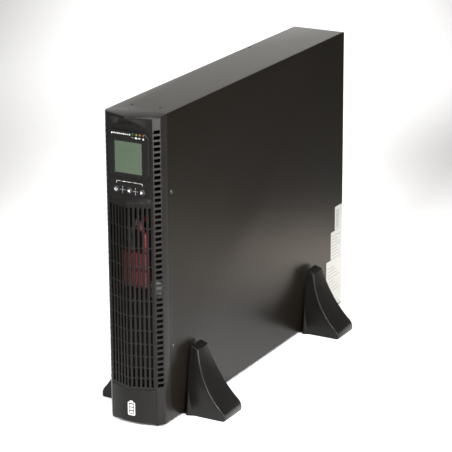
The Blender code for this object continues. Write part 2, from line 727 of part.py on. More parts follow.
def build_outlets():
    """Two blocks of three outlets, each with a trench round its core and three slots for blades."""
    for name, z in zip(("upper", "lower"), OUTLET_Z):
        block = box(f"outlet_block_{name}", (-40, REAR + GAP, z - 17), (40, REAR + GAP + 1.6, z + 17),
                    "outlet")
        for k, x in enumerate(OUTLET_X):
            box_tool(block, (x - 11.8, REAR - 24, z - 15.6), (x + 11.8, REAR + GAP + 1, z + 15.6), weld_on)
            ring = chamfered((x, z), 9.2, 13.0, 3.2)
            core = chamfered((x, z), 6.8, 10.6, 2.2)
            trench = prism(f"tool_trench_{name}_{k}", ring, "Y", REAR - 15, REAR + 5, None)
            carve(trench, prism(f"tool_core_{name}_{k}", core, "Y", REAR - 16, REAR + 6, None))
            carve(block, trench)
            for dx, dz in ((-2.5, -7), (2.0, 0), (-2.5, 7)):
                low = (x + dx - 2.2, REAR - 14, z + dz - 1.1)
                box_tool(block, low, (low[0] + 4.4, REAR + 5, low[2] + 2.2))


def build_inlet():
    """The power inlet: a flange, a shrouded recess and three blades."""
    x, z = INLET_X, INLET_Z
    inlet = prism("power_inlet", chamfered((x, z), 25.0, 14.0, 4.0), "Y", REAR + GAP, REAR + GAP + 2.4,
                  "outlet")
    box_tool(inlet, (x - 14.5, REAR - 22, z - 10.5), (x + 14.5, REAR + GAP + 1, z + 10.5), weld_on)
    prism_tool(inlet, chamfered((x, z), 12.2, 8.3, 3.0), "Y", REAR - 15, REAR + 5)
    for dx, dz in ((-7, -2), (7, -2), (0, 3.5)):
        box_tool(inlet, (x + dx - 1, REAR - 16, z + dz - 2), (x + dx + 1, REAR - 1, z + dz + 2), weld_on)

    breaker = prism("breaker_body", circle((BREAKER_X, z), 9.0, 6), "Y", REAR + GAP, REAR + GAP + 2.2,
                    "outlet")
    prism_tool(breaker, circle((BREAKER_X, z), 6.0), "Y", REAR - 24, REAR + 1, weld_on)
    prism_tool(breaker, circle((BREAKER_X, z), BREAKER_BORE + GAP), "Y", REAR - 10, REAR + 6)
    prism("breaker_button", circle((BREAKER_X, z), BREAKER_BORE), "Y", REAR - 6, REAR + BREAKER_PROUD,
          "rubber", (BREAKER_X, REAR, z))


def build_ports():
    """The network slot's cover, a serial and a USB port, the emergency-off terminal and the ground screw."""
    cover = chamfered((-20, 383), 18.0, 47.0, 1.0)
    prism("network_slot_cover", cover, "Y", REAR + GAP, REAR + GAP + SHEET, "zinc")
    serial = prism("serial_port", chamfered((21, 410.5), 15.5, 7.5, 2.0), "Y", REAR + GAP, REAR + 1.2, "zinc")
    box_tool(serial, (8.6, REAR - 8, 404.6), (33.4, REAR + 1, 416.4), weld_on)
    shell = [(12.6, 406.4), (29.4, 406.4), (31.2, 414.6), (10.8, 414.6)]
    prism_tool(serial, shell, "Y", REAR + 0.8, REAR + 4.4, weld_on)
    usb = box("usb_port", (14.3, REAR - 14, 380.3), (26.7, REAR + 0.8, 391.7), "zinc")
    box_tool(usb, (16.0, REAR - 10, 382.0), (25.0, REAR + 2, 390.0))
    box_tool(usb, (18.4, REAR - 11, 384.6), (22.6, REAR - 1, 387.4), weld_on)
    terminal = box("epo_terminal", (13.3, REAR - 8, 356.3), (27.7, REAR + 2.4, 367.7), "green_plastic")
    for x in (17.0, 24.0):
        box_tool(terminal, (x - 2.1, REAR - 6, 358.6), (x + 2.1, REAR + 4, 365.4))
    ground = prism("ground_screw", circle((-30.0, 22.0), 4.0, 18), "Y", REAR + GAP, REAR + 2.8, "brass")
    box_tool(ground, (-33.2, REAR + 1.8, 21.5), (-26.8, REAR + 4, 22.5))


# ------------------------------------------------------------------------------------------- assembly

clear_scene()
MATERIALS = {name: make_material(name, *look) for name, look in {
    "steel": ((0.022, 0.021, 0.020), 0.55),
    "bezel": ((0.030, 0.030, 0.031), 0.48),
    "panel": ((0.020, 0.020, 0.022), 0.42),
    "foot": ((0.022, 0.022, 0.022), 0.38),
    "rubber": ((0.025, 0.025, 0.026), 0.60),
    "white": ((0.80, 0.80, 0.80), 0.45),
    "lcd": ((0.17, 0.22, 0.13), 0.25),
    "led_green": ((0.02, 0.22, 0.08), 0.30),
    "led_amber": ((0.40, 0.30, 0.03), 0.30),
    "led_red": ((0.40, 0.02, 0.02), 0.30),
    "zinc": ((0.55, 0.56, 0.58), 0.35, 0.9),
    "aluminium": ((0.70, 0.71, 0.72), 0.40, 0.9),
    "brass": ((0.72, 0.56, 0.28), 0.35, 0.9),
    "copper": ((0.60, 0.28, 0.12), 0.40, 0.8),
    "winding": ((0.45, 0.40, 0.12), 0.50),
    "capacitor": ((0.05, 0.06, 0.12), 0.40),
    "circuit_board": ((0.02, 0.16, 0.07), 0.50),
    "battery": ((0.06, 0.06, 0.07), 0.50),
    "fan": ((0.018, 0.018, 0.018), 0.45),
    "outlet": ((0.016, 0.016, 0.016), 0.40),
    "green_plastic": ((0.03, 0.26, 0.10), 0.45),
    "red_plastic": ((0.45, 0.02, 0.02), 0.45),
    "red_insulation": ((0.50, 0.02, 0.02), 0.40),
    "black_insulation": ((0.02, 0.02, 0.02), 0.40),
}.items()}

UNIT = bpy.data.objects.new("unit", None)
UNIT.location = (-MIDDLE_X * MM, -MIDDLE_Y * MM, -FOOT_Z * MM)
bpy.context.collection.objects.link(UNIT)

build_case()
build_bezel_frame()
build_grille()
build_lower_plate()
build_control_panel()
build_buttons()
build_display()
for end, foot_y in (("front", FRONT_FOOT_Y), ("rear", REAR_FOOT_Y)):
    for hand, sign in (("left", -1), ("right", 1)):
        build_foot(f"foot_{end}_{hand}", sign, foot_y)
build_batteries()
build_leads()
build_electronics()
build_rear_panel()
for place_name, fan_z in zip(("upper", "lower"), FAN_Z):
    build_fan(place_name, fan_z)
build_outlets()
build_inlet()
build_ports()
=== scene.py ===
"""The looks of a 2U uninterruptible power supply that stands on tower feet.

Shapes are drawn in millimetres in the unit's own frame: X centred, Y 0 where the bezel meets the steel case,
and Z 0 at the case's underside. add_piece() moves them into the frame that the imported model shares.
"""
import math

import bmesh
import bpy
from mathutils import Matrix, Vector


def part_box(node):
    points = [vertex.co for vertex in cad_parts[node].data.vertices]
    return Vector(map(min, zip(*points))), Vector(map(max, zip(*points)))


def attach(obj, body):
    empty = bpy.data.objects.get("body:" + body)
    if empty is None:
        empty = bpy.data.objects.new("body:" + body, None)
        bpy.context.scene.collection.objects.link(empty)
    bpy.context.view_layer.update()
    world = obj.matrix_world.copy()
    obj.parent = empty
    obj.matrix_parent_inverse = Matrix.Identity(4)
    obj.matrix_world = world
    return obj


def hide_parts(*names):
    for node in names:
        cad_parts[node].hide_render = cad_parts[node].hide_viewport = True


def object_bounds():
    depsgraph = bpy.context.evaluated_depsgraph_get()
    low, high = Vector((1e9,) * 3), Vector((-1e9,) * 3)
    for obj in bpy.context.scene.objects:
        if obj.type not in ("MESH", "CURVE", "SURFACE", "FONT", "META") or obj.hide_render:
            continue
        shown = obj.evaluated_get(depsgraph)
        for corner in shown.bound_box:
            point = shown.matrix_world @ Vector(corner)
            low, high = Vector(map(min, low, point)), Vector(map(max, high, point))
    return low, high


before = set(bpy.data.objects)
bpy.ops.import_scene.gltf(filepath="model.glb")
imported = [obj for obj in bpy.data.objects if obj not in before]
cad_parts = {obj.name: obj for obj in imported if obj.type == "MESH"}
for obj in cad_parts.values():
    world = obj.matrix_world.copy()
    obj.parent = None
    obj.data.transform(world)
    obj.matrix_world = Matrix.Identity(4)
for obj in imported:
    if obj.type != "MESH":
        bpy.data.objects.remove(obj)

CAD_BOUNDS = [[float(c) for c in corner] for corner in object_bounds()]
MM = 0.001

# The camera: angles in degrees round the target, which is in the unit's frame
CAMERA_AZIMUTH = 29.06
CAMERA_ELEVATION = 18.29
CAMERA_ROLL = 0.35
CAMERA_DISTANCE_M = 3.1405
CAMERA_LENS = 171.6
CAMERA_SENSOR = 36.0
CAMERA_TARGET = (-7.8, 250.0, 201.8)

# ------------ sizes read from the frame

COVER_LOW, COVER_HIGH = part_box("side_cover")
MIDDLE_X = (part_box("left_panel")[0][0] + COVER_HIGH[0]) / 2
ORIGIN = Vector((MIDDLE_X, COVER_LOW[1], COVER_LOW[2]))


def unit_box(node):
    """A CAD node's corners, in millimetres in the unit's frame."""
    low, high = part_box(node)
    return (Vector(low) - ORIGIN) / MM, (Vector(high) - ORIGIN) / MM


def disc_of(node):
    """The centre's x and z and the radius of a round node that looks forwards."""
    low, high = unit_box(node)
    return (low.x + high.x) / 2, (low.z + high.z) / 2, (high.x - low.x) / 2


HALF_WIDTH = (COVER_HIGH[0] - MIDDLE_X) / MM
HEIGHT = (COVER_HIGH[2] - COVER_LOW[2]) / MM
DEPTH = (COVER_HIGH[1] - COVER_LOW[1]) / MM
SHEET = (COVER_HIGH[0] - COVER_LOW[0]) / MM
GAP = 0.3

# The bezel's plan
WALL = 2.4
SIDE_REACH = 16.0
CORNER_X = 35.8
CORNER_REACH = 25.8
PROW_REACH = -unit_box("bezel_frame")[0].y
SLOPE = (PROW_REACH - CORNER_REACH) / CORNER_X
FACET = math.hypot(HALF_WIDTH - CORNER_X, CORNER_REACH - SIDE_REACH)
RIM_RADIUS = 2.0
TOUCH = 1e-6

# Intake slits
SLIT_COUNT = 47
SLIT_OPENING = 4.8
SLIT_BAR = 3.0
SLIT_BOTTOM = 56.5
SLIT_MARGIN = 1.6

# Grille
GRILLE_LOW, GRILLE_HIGH = unit_box("front_grille")
SLOT_BOTTOM = 56.0
SLOT_COLUMNS = 11
SLOT_ROWS = 12
SLOT_PITCH = 6.0
SLOT_WIDTH = 3.2
SLOT_BAR = 1.3
TOP_ROW = 29.2
ROW_STEP = 1.4

# Lower plate and emblem
PLATE_LOW, PLATE_HIGH = unit_box("lower_plate")
PLATE_REACH = 33.6
EMBLEM_LOW, EMBLEM_HIGH = unit_box("emblem")
EMBLEM_Z = (EMBLEM_LOW.z + EMBLEM_HIGH.z) / 2

# Control panel
PANEL_LOW, PANEL_HIGH = unit_box("control_panel")
PANEL_REACH = 25.5
PANEL_BOTTOM = 325.0
PANEL_TOP = 425.0
LIP_EDGE = 0.8
SCOOP_DROP = 3.0
BUTTON_NODES = ("button_power", "button_left", "button_right")
BUTTON_GAP = 0.35
MARK_DEPTH = 0.6

# Display
HOUSING_LOW, HOUSING_HIGH = unit_box("display_housing")
DISPLAY_Z = (HOUSING_LOW.z + HOUSING_HIGH.z) / 2
DISPLAY_HALF = (HOUSING_HIGH.x - HOUSING_LOW.x) / 2
DISPLAY_CHAMFER = 6.2
DISPLAY_FRONT = HOUSING_LOW.y
DISPLAY_BACK = -PANEL_REACH - 0.4
WINDOW_LOW, WINDOW_HIGH = unit_box("display_window")
HUB_RADIUS = 15.0
LED_NODES = ("led_line", "led_battery", "led_bypass", "led_fault")
PRINT_PROUD = 0.08
PRINT_DEPTH = 0.3

# Tower feet: the inner wall of the fins on the left (-1) and on the right (1)
FIN_INNER = {-1: HALF_WIDTH + GAP, 1: 48.0}
FIN_EDGE = 3.0
FOOT_PLATE = 3.0
FOOT_HEIGHT = 99.0
FOOT_BASE_HALF = 26.5
FOOT_TOP_HALF = 14.0


# ------------ materials

BUMP_DEPTH_M = 0.0004
BRUSH_STRETCH = 0.04


def new_material(name):
    material = bpy.data.materials.new(name)
    material.use_nodes = True
    return material, material.node_tree.nodes, material.node_tree.links


def grained(name, colour, roughness, variation, grain, bump, blotch, rough_spread, metallic=0.0,
            specular=0.5, coat=0.0, coat_roughness=0.1):
    """A surface with a colour that drifts by variation over blotch metres, and a fine grain in metres.

    The grain drives both the bump and the roughness, which varies by rough_spread.
    """
    material, nodes, links = new_material(name)
    shader = nodes["Principled BSDF"]
    for socket, value in (("Metallic", metallic), ("Specular IOR Level", specular), ("Coat Weight", coat),
                          ("Coat Roughness", coat_roughness)):
        shader.inputs[socket].default_value = value
    place = nodes.new("ShaderNodeTexCoord")

    def noise(scale_m, detail):
        texture = nodes.new("ShaderNodeTexNoise")
        texture.inputs["Scale"].default_value = 1.0 / scale_m
        texture.inputs["Detail"].default_value = detail
        texture.inputs["Roughness"].default_value = 0.55
        links.new(place.outputs["Object"], texture.inputs["Vector"])
        return texture

    drift = noise(blotch, 3.0)
    ramp = nodes.new("ShaderNodeValToRGB")
    for element, position, share in zip(ramp.color_ramp.elements, (0.3, 0.7), (1 - variation, 1 + variation)):
        element.position = position
        element.color = (*[min(1.0, c * share) for c in colour], 1.0)
    links.new(drift.outputs["Fac"], ramp.inputs["Fac"])
    links.new(ramp.outputs["Color"], shader.inputs["Base Color"])

    fine = noise(grain, 2.0)
    spread = nodes.new("ShaderNodeMapRange")
    spread.inputs["To Min"].default_value = max(0.02, roughness - rough_spread)
    spread.inputs["To Max"].default_value = min(1.0, roughness + rough_spread)
    links.new(fine.outputs["Fac"], spread.inputs["Value"])
    links.new(spread.outputs["Result"], shader.inputs["Roughness"])

    if bump:
        relief = nodes.new("ShaderNodeBump")
        relief.inputs["Strength"].default_value = bump
        relief.inputs["Distance"].default_value = BUMP_DEPTH_M
        links.new(fine.outputs["Fac"], relief.inputs["Height"])
        links.new(relief.outputs["Normal"], shader.inputs["Normal"])
    return material


def brushed(name, colour, roughness, axis):
    """Drawn or brushed metal, with fine lines along one axis."""
    material = grained(name, colour, roughness, 0.08, 0.0008, 0.05, 0.03, 0.08, metallic=1.0)
    nodes, links = material.node_tree.nodes, material.node_tree.links
    stretch = nodes.new("ShaderNodeMapping")
    scale = [1.0, 1.0, 1.0]
    scale["XYZ".index(axis)] = BRUSH_STRETCH
    stretch.inputs["Scale"].default_value = scale
    place = next(n for n in nodes if n.type == "TEX_COORD")
    links.new(place.outputs["Object"], stretch.inputs["Vector"])
    for texture in [n for n in nodes if n.type == "TEX_NOISE"]:
        links.new(stretch.outputs["Vector"], texture.inputs["Vector"])
    return material


LENS = (0.22, 0.1, 0.0004, 0.0, 0.002, 0.03)

# Each grained finish: colour, roughness, variation, grain, bump, blotch and rough_spread
FINISHES = {
    "steel": ((0.0044, 0.0034, 0.0025), 0.29, 0.10, 0.0007, 0.10, 0.09, 0.05),
    "bezel": ((0.0068, 0.0063, 0.0059), 0.30, 0.10, 0.0006, 0.08, 0.05, 0.06),
    "panel": ((0.0062, 0.0058, 0.0056), 0.36, 0.10, 0.0005, 0.06, 0.04, 0.05),
    "foot": ((0.0032, 0.0030, 0.0027), 0.25, 0.12, 0.0008, 0.04, 0.03, 0.05),
    "rubber": ((0.0085, 0.0085, 0.009), 0.58, 0.10, 0.0004, 0.08, 0.01, 0.05),
    "ink": ((0.52, 0.52, 0.51), 0.60, 0.04, 0.0004, 0.03, 0.004, 0.05),
    "grey_ink": ((0.17, 0.17, 0.17), 0.60, 0.06, 0.0004, 0.03, 0.004, 0.05),
    "lcd": ((0.040, 0.056, 0.036), 0.30, 0.05, 0.0002, 0.0, 0.02, 0.04),
    "lcd_edge": ((0.012, 0.013, 0.014), 0.25, 0.1, 0.0005, 0.0, 0.02, 0.03),
    "lcd_ghost": ((0.038, 0.053, 0.034), 0.32, 0.05, 0.0004, 0.0, 0.01, 0.03),
    "led_green": ((0.006, 0.080, 0.027), *LENS),
    "led_amber": ((0.170, 0.130, 0.012), *LENS),
    "led_red": ((0.180, 0.008, 0.008), *LENS),
    "galvanised": ((0.42, 0.43, 0.44), 0.42, 0.16, 0.003, 0.05, 0.012, 0.1),
    "dark_screw": ((0.045, 0.043, 0.042), 0.38, 0.1, 0.0006, 0.05, 0.002, 0.05),
    "brass": ((0.66, 0.50, 0.22), 0.30, 0.08, 0.0006, 0.05, 0.004, 0.05),
    "copper": ((0.52, 0.20, 0.07), 0.30, 0.12, 0.001, 0.1, 0.006, 0.05),
    "winding": ((0.55, 0.42, 0.06), 0.45, 0.08, 0.002, 0.05, 0.01, 0.05),
    "capacitor": ((0.025, 0.03, 0.075), 0.30, 0.08, 0.001, 0.03, 0.01, 0.05),
    "board": ((0.010, 0.095, 0.040), 0.36, 0.2, 0.002, 0.08, 0.006, 0.08),
    "battery": ((0.045, 0.046, 0.050), 0.46, 0.1, 0.0009, 0.08, 0.03, 0.05),
    "fan": ((0.014, 0.014, 0.014), 0.38, 0.1, 0.0008, 0.05, 0.02, 0.05),
    "outlet": ((0.013, 0.013, 0.014), 0.34, 0.1, 0.0006, 0.06, 0.01, 0.05),
    "green_plastic": ((0.012, 0.20, 0.065), 0.42, 0.08, 0.0006, 0.05, 0.004, 0.05),
    "red_plastic": ((0.062, 0.002, 0.002), 0.50, 0.08, 0.0009, 0.06, 0.01, 0.05),
    "red_wire": ((0.11, 0.003, 0.003), 0.45, 0.06, 0.0007, 0.05, 0.01, 0.05),
    "black_wire": ((0.014, 0.014, 0.014), 0.35, 0.1, 0.0007, 0.05, 0.01, 0.05),
    "label": ((0.33, 0.335, 0.32), 0.55, 0.03, 0.0008, 0.03, 0.02, 0.05),
    "label_print": ((0.06, 0.062, 0.062), 0.6, 0.25, 0.0008, 0.02, 0.003, 0.05),
}
# What some finishes have besides
EXTRAS = {
    "steel": {"specular": 0.08},
    "bezel": {"specular": 0.11},
    "panel": {"specular": 0.18},
    "foot": {"specular": 0.17},
    "lcd": {"coat": 0.6, "coat_roughness": 0.08},
    **{f"led_{colour}": {"coat": 0.5} for colour in ("green", "amber", "red")},
    "galvanised": {"metallic": 0.9},
    "dark_screw": {"metallic": 0.8},
    "brass": {"metallic": 1.0},
    "copper": {"metallic": 0.85},
}
# Brushed metals: colour, roughness and the axis of the lines
BRUSHED = {"zinc": ((0.52, 0.53, 0.55), 0.34, "Z"), "aluminium": ((0.66, 0.67, 0.69), 0.36, "Y")}

MATERIALS = {name: grained(name, *numbers, **EXTRAS.get(name, {})) for name, numbers in FINISHES.items()}
MATERIALS |= {name: brushed(name, *numbers) for name, numbers in BRUSHED.items()}


# ------------ mesh building

def link_object(name, data):
    thing = bpy.data.objects.new(name, data)
    bpy.context.scene.collection.objects.link(thing)
    return thing


def mesh_object(name, bm):
    mesh = bpy.data.meshes.new(name)
    bm.to_mesh(mesh)
    bm.free()
    return link_object(name, mesh)


def unit_object(name, bm):
    """An object made of bm, which is drawn in the unit's frame."""
    bmesh.ops.recalc_face_normals(bm, faces=bm.faces)
    bmesh.ops.scale(bm, vec=(MM, MM, MM), verts=bm.verts)
    bmesh.ops.translate(bm, vec=ORIGIN, verts=bm.verts)
    return mesh_object(name, bm)


def add_piece(name, bm, material, body, replaces=(), bevel=0.0, segments=2, smooth=35.0):
    """Make bm a piece that rides on a body. bevel rounds every edge sharper than the smooth angle."""
    thing = unit_object(name, bm)
    thing.data.shade_smooth()
    thing.data.materials.append(MATERIALS[material])
    if bevel:
        round_edges(thing, bevel, segments, smooth)
    else:
        thing.data.set_sharp_from_angle(angle=math.radians(smooth))
    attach(thing, body)
    if replaces:
        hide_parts(*replaces)
    return thing


def round_edges(thing, width, segments, angle):
    modifier = thing.modifiers.new("rounded edges", "BEVEL")
    modifier.width = width * MM
    modifier.segments = segments
    modifier.limit_method = "ANGLE"
    modifier.angle_limit = math.radians(angle)
    modifier.harden_normals = True


def face(bm, vertices):
    bm.faces.new(tuple(vertices))


def along(axis, plane, first, second):
    point = [first, second]
    point.insert("XYZ".index(axis), plane)
    return Vector(point)


def join_rings(bm, a, b):
    """A band of faces between two closed rings with the same number of vertices."""
    for i in range(len(a)):
        j = (i + 1) % len(a)
        face(bm, (a[i], a[j], b[j], b[i]))


def prism_mesh(bm, outline, axis, start, stop):
    """Extrude a closed outline, drawn in the other two axes, from start to stop along axis."""
    ends = [[bm.verts.new(along(axis, plane, *p)) for p in outline] for plane in (start, stop)]
    face(bm, ends[0])
    face(bm, reversed(ends[1]))
    join_rings(bm, *reversed(ends))


def frame_mesh(bm, outer, inner, axis, start, stop):
    """A ring between two outlines with the same number of points, from start to stop along axis."""
    rings = [[bm.verts.new(along(axis, plane, *p)) for p in outline]
             for outline, plane in ((outer, start), (outer, stop), (inner, stop), (inner, start))]
    for a, b in zip(rings, rings[1:] + rings[:1]):
        join_rings(bm, a, b)


def turned_mesh(bm, profile, centre, axis, steps):
    """Turn a profile of (radius, distance along axis) about a line through centre."""
    columns = []
    others = [k for k in range(3) if k != "XYZ".index(axis)]
    for k in range(steps):
        a = math.tau * k / steps
        column = []
        for radius, distance in profile:
            point = Vector(centre)
            point["XYZ".index(axis)] += distance
            point[others[0]] += radius * math.cos(a)
            point[others[1]] += radius * math.sin(a)
            column.append(bm.verts.new(point))
        columns.append(column)
    for k in range(steps):
        a, b = columns[k], columns[(k + 1) % steps]
        for i in range(len(profile) - 1):
            face(bm, (a[i], b[i], b[i + 1], a[i + 1]))
    bmesh.ops.remove_doubles(bm, verts=[v for c in columns for v in c], dist=1e-4)


def tube_mesh(bm, points, radius, sides, closed=False):
    """A round wire along a polyline, with flat ends unless it is closed."""
    points = [Vector(p) for p in points]
    count = len(points)
    rings = []
    side_way = None
    for k, point in enumerate(points):
        before = points[k - 1] if k or closed else point
        after = points[(k + 1) % count] if k < count - 1 or closed else point
        ahead = (after - before).normalized()
        if side_way is None:
            side_way = ahead.orthogonal().normalized()
        side_way = (side_way - ahead * side_way.dot(ahead)).normalized()
        up = ahead.cross(side_way)
        rings.append([bm.verts.new(point + radius * (math.cos(a) * side_way + math.sin(a) * up))
                      for a in (math.tau * s / sides for s in range(sides))])
    for a, b in zip(rings, rings[1:] + rings[:1] if closed else rings[1:]):
        join_rings(bm, a, b)
    if not closed:
        face(bm, reversed(rings[0]))
        face(bm, rings[-1])


def lattice_mesh(bm, place, us, vs, is_open):
    """A sheet on the grid us by vs with some cells left open. place(u, v, side) is the front 0 or back 1."""
    columns, rows = len(us) - 1, len(vs) - 1
    grid = {}

    def vertex(i, j, side):
        if (i, j, side) not in grid:
            grid[i, j, side] = bm.verts.new(place(us[i], vs[j], side))
        return grid[i, j, side]

    def is_solid(i, j):
        return 0 <= i < columns and 0 <= j < rows and not is_open(i, j)

    for i in range(columns):
        for j in range(rows):
            if not is_solid(i, j):
                continue
            ring = [(i, j), (i + 1, j), (i + 1, j + 1), (i, j + 1)]
            face(bm, [vertex(a, b, 0) for a, b in ring])
            face(bm, [vertex(a, b, 1) for a, b in reversed(ring)])
            for k, beside in enumerate([(i, j - 1), (i + 1, j), (i, j + 1), (i - 1, j)]):
                if not is_solid(*beside):
                    a, b = ring[k], ring[(k + 1) % 4]
                    face(bm, (vertex(*b, 0), vertex(*a, 0), vertex(*a, 1), vertex(*b, 1)))


def circle(centre, radius, count=24):
    steps = [math.tau * (i + 0.5) / count for i in range(count)]
    return [(centre[0] + radius * math.cos(a), centre[1] + radius * math.sin(a)) for a in steps]


def chamfered(centre, x, z, cut):
    """The outline of a rectangle with half sizes x and z, and with its corners cut off."""
    corners = [(x, z - cut), (x - cut, z), (cut - x, z), (-x, z - cut), (-x, cut - z), (cut - x, -z),
               (x - cut, -z), (x, cut - z)]
    return [(centre[0] + a, centre[1] + b) for a, b in corners]


def rounded(centre, half_width, half_height, radius, steps=6):
    """The outline of a rectangle with round corners."""
    points = []
    for quarter, (sx, sz) in enumerate(((1, 1), (-1, 1), (-1, -1), (1, -1))):
        for k in range(steps + 1):
            a = math.pi / 2 * (quarter + k / steps)
            points.append((centre[0] + sx * (half_width - radius) + radius * math.cos(a),
                           centre[1] + sz * (half_height - radius) + radius * math.sin(a)))
    return points


def solid(name, outline, axis, start, stop, material, body, **options):
    bm = bmesh.new()
    prism_mesh(bm, outline, axis, start, stop)
    return add_piece(name, bm, material, body, **options)


def turned(name, profile, centre, axis, steps, material, body, **options):
    bm = bmesh.new()
    turned_mesh(bm, profile, centre, axis, steps)
    return add_piece(name, bm, material, body, **options)


def carve(target, outlines, axis, start, stop):
    """Cut extruded outlines out of a piece, and leave no cutter behind."""
    bm = bmesh.new()
    for outline in outlines:
        prism_mesh(bm, outline, axis, start, stop)
    cutter = unit_object("cutter", bm)
    modifier = target.modifiers.new("cut", "BOOLEAN")
    modifier.object = cutter
    target.modifiers.move(len(target.modifiers) - 1, 0)
    others = [m for m in target.modifiers if m != modifier]
    for other in others:
        other.show_viewport = False
    depsgraph = bpy.context.evaluated_depsgraph_get()
    carved = bpy.data.meshes.new_from_object(target.evaluated_get(depsgraph))
    for other in others:
        other.show_viewport = True
    target.modifiers.remove(modifier)
    target.data = carved
    bpy.data.objects.remove(cutter, do_unlink=True)


# ------------ steel case

BEND_RADIUS = 1.6
COVER_BEND_RADIUS = 1.0
COVER_SCREW_RADIUS = 3.0
THREADED_HOLES = ((-22.5, 20.0), (20.0, 22.5), (-37.0, 377.5))


def bend(centre, radius, start, turn=90, steps=6):
    """Points round a bend in a sheet, in degrees."""
    angles = [math.radians(start + turn * k / steps) for k in range(steps + 1)]
    return [(centre[0] + radius * math.cos(a), centre[1] + radius * math.sin(a)) for a in angles]


def build_case():
    """The bent base sheet with its threaded holes, and the side cover with its screws."""
    right = HALF_WIDTH - SHEET - GAP
    r = BEND_RADIUS
    left, top = -HALF_WIDTH, HEIGHT
    outer = [(right, top), *bend((left + r, top - r), r, 90), *bend((left + r, r), r, 180), (right, 0)]
    s = r - SHEET
    inner = [(right, SHEET), *reversed(bend((left + r, r), s, 180)),
             *reversed(bend((left + r, top - r), s, 90)), (right, top - SHEET)]
    base = solid("base_sheet", outer + inner, "Y", 0, DEPTH, "steel", "case",
                 replaces=("left_panel", "top_panel", "bottom_panel"), bevel=0.25)
    holes = THREADED_HOLES
    carve(base, [circle(p, 1.9) for p in holes], "Z", top - 3, top + 1)
    insert = [(1.2, 0), (1.85, 0), (1.85, 0.7), (1.55, 0.85), (1.2, 0.7), (1.2, 0)]
    for k, p in enumerate(holes):
        turned(f"thread_insert_{k + 1}", insert, (*p, top - SHEET - 0.1), "Z", 24, "dark_screw", "case")

    inside, centre_x = HALF_WIDTH - SHEET, HALF_WIDTH - COVER_BEND_RADIUS
    outline = [(inside, 0.0), *bend((centre_x, COVER_BEND_RADIUS), COVER_BEND_RADIUS, -90, 90, 4),
               *bend((centre_x, top - COVER_BEND_RADIUS), COVER_BEND_RADIUS, 0, 90, 4), (inside, top)]
    cover = solid("side_cover_sheet", outline, "Y", 0, DEPTH, "steel", "case", replaces=("side_cover",),
                  bevel=0.2)
    for name in ("upper", "lower"):
        low, high = unit_box(f"cover_screw_{name}")
        place = ((low.y + high.y) / 2, (low.z + high.z) / 2)
        carve(cover, [circle(place, COVER_SCREW_RADIUS + 0.4)], "X", HALF_WIDTH - 0.5, HALF_WIDTH + 1)
        build_screw(f"cover_screw_{name}_head", (HALF_WIDTH - 0.45, *place), "X", COVER_SCREW_RADIUS,
                    replaces=(f"cover_screw_{name}",))


def build_screw(name, centre, axis, radius, material="dark_screw", replaces=()):
    """A low domed screw head with a cross recess."""
    dome = [(0.001, 0.0), (radius, 0.0), (radius, 0.25 * radius), (0.75 * radius, 0.5 * radius),
            (0.35 * radius, 0.62 * radius), (0.001, 0.65 * radius)]
    head = turned(name, dome, centre, axis, 28, material, "case", replaces=replaces, smooth=50)
    others = [centre[k] for k in range(3) if k != "XYZ".index(axis)]
    wide, thin = 0.55 * radius, 0.13 * radius
    start = centre["XYZ".index(axis)] + 0.3 * radius
    cross = [(others[0] + a * c - b * s, others[1] + a * s + b * c)
             for c, s in ((1, 0), (0, 1), (-1, 0), (0, -1))
             for a, b in ((wide, thin), (thin, thin), (thin, wide))]
    carve(head, [cross], axis, start, start + 2 * radius)
    head.data.set_sharp_from_angle(angle=math.radians(50))


# ------------ bezel

def prow_reach(x):
    return PROW_REACH - abs(x) * SLOPE


def plate_reach(x):
    bulge = PLATE_REACH - CORNER_REACH
    radius = (CORNER_X ** 2 + bulge ** 2) / (2 * bulge)
    return PLATE_REACH - radius + math.sqrt(radius ** 2 - x ** 2)


def slit_edges():
    pitch = SLIT_OPENING + SLIT_BAR
    starts = [SLIT_BOTTOM + pitch * k for k in range(SLIT_COUNT)]
    return [edge for start in starts for edge in (start, start + SLIT_OPENING)]


def slot_edges():
    z = SLOT_BOTTOM
    edges = []
    for k in reversed(range(SLOT_ROWS)):
        pitch = TOP_ROW - ROW_STEP * k
        edges += [z, z + pitch - SLOT_BAR]
        z += pitch
    return edges


def skin_point(u):
    """The bezel's outside in plan, at distance u along it from the right rear edge, and its inward normal."""
    if u <= SIDE_REACH:
        return Vector((HALF_WIDTH, -u, 0)), Vector((-1, 0, 0))
    share = (u - SIDE_REACH) / FACET
    run, rise = HALF_WIDTH - CORNER_X, CORNER_REACH - SIDE_REACH
    point = Vector((HALF_WIDTH - share * run, -SIDE_REACH - share * rise, 0))
    return point, Vector((-rise, run, 0)) / FACET


def build_bezel_frame():
    """Both cheeks with their slits, joined by the roof and the floor."""
    end = SIDE_REACH + FACET
    us = [GAP, SIDE_REACH - 0.8, SIDE_REACH + 0.4, SIDE_REACH + SLIT_MARGIN, end - SLIT_MARGIN, end]
    vs = [RIM_RADIUS, *slit_edges(), HEIGHT - RIM_RADIUS]
    through = WALL * FACET / (HALF_WIDTH - CORNER_X)
    bm = bmesh.new()
    for side in (1, -1):
        def place(u, v, depth, side=side):
            point, inward = skin_point(u)
            if depth and u >= end:
                point = point + Vector((0, through, 0))
            elif depth:
                point = point + inward * WALL
            return Vector((side * point.x, point.y, v))
        lattice_mesh(bm, place, us, vs, lambda i, j: i == 3 and j % 2 == 1)
    add_piece("bezel_cheeks", bm, "bezel", "bezel", replaces=("bezel_frame",), bevel=0.3)

    plan = [(HALF_WIDTH, -GAP), (HALF_WIDTH, -SIDE_REACH), (CORNER_X, -CORNER_REACH)]
    mirrored = [(-x, y) for x, y in reversed(plan)]
    build_cap("bezel_roof", [*plan, (0.0, -PROW_REACH), *mirrored], HEIGHT - WALL, HEIGHT)
    build_cap("bezel_floor", plan + mirrored, 0, WALL)


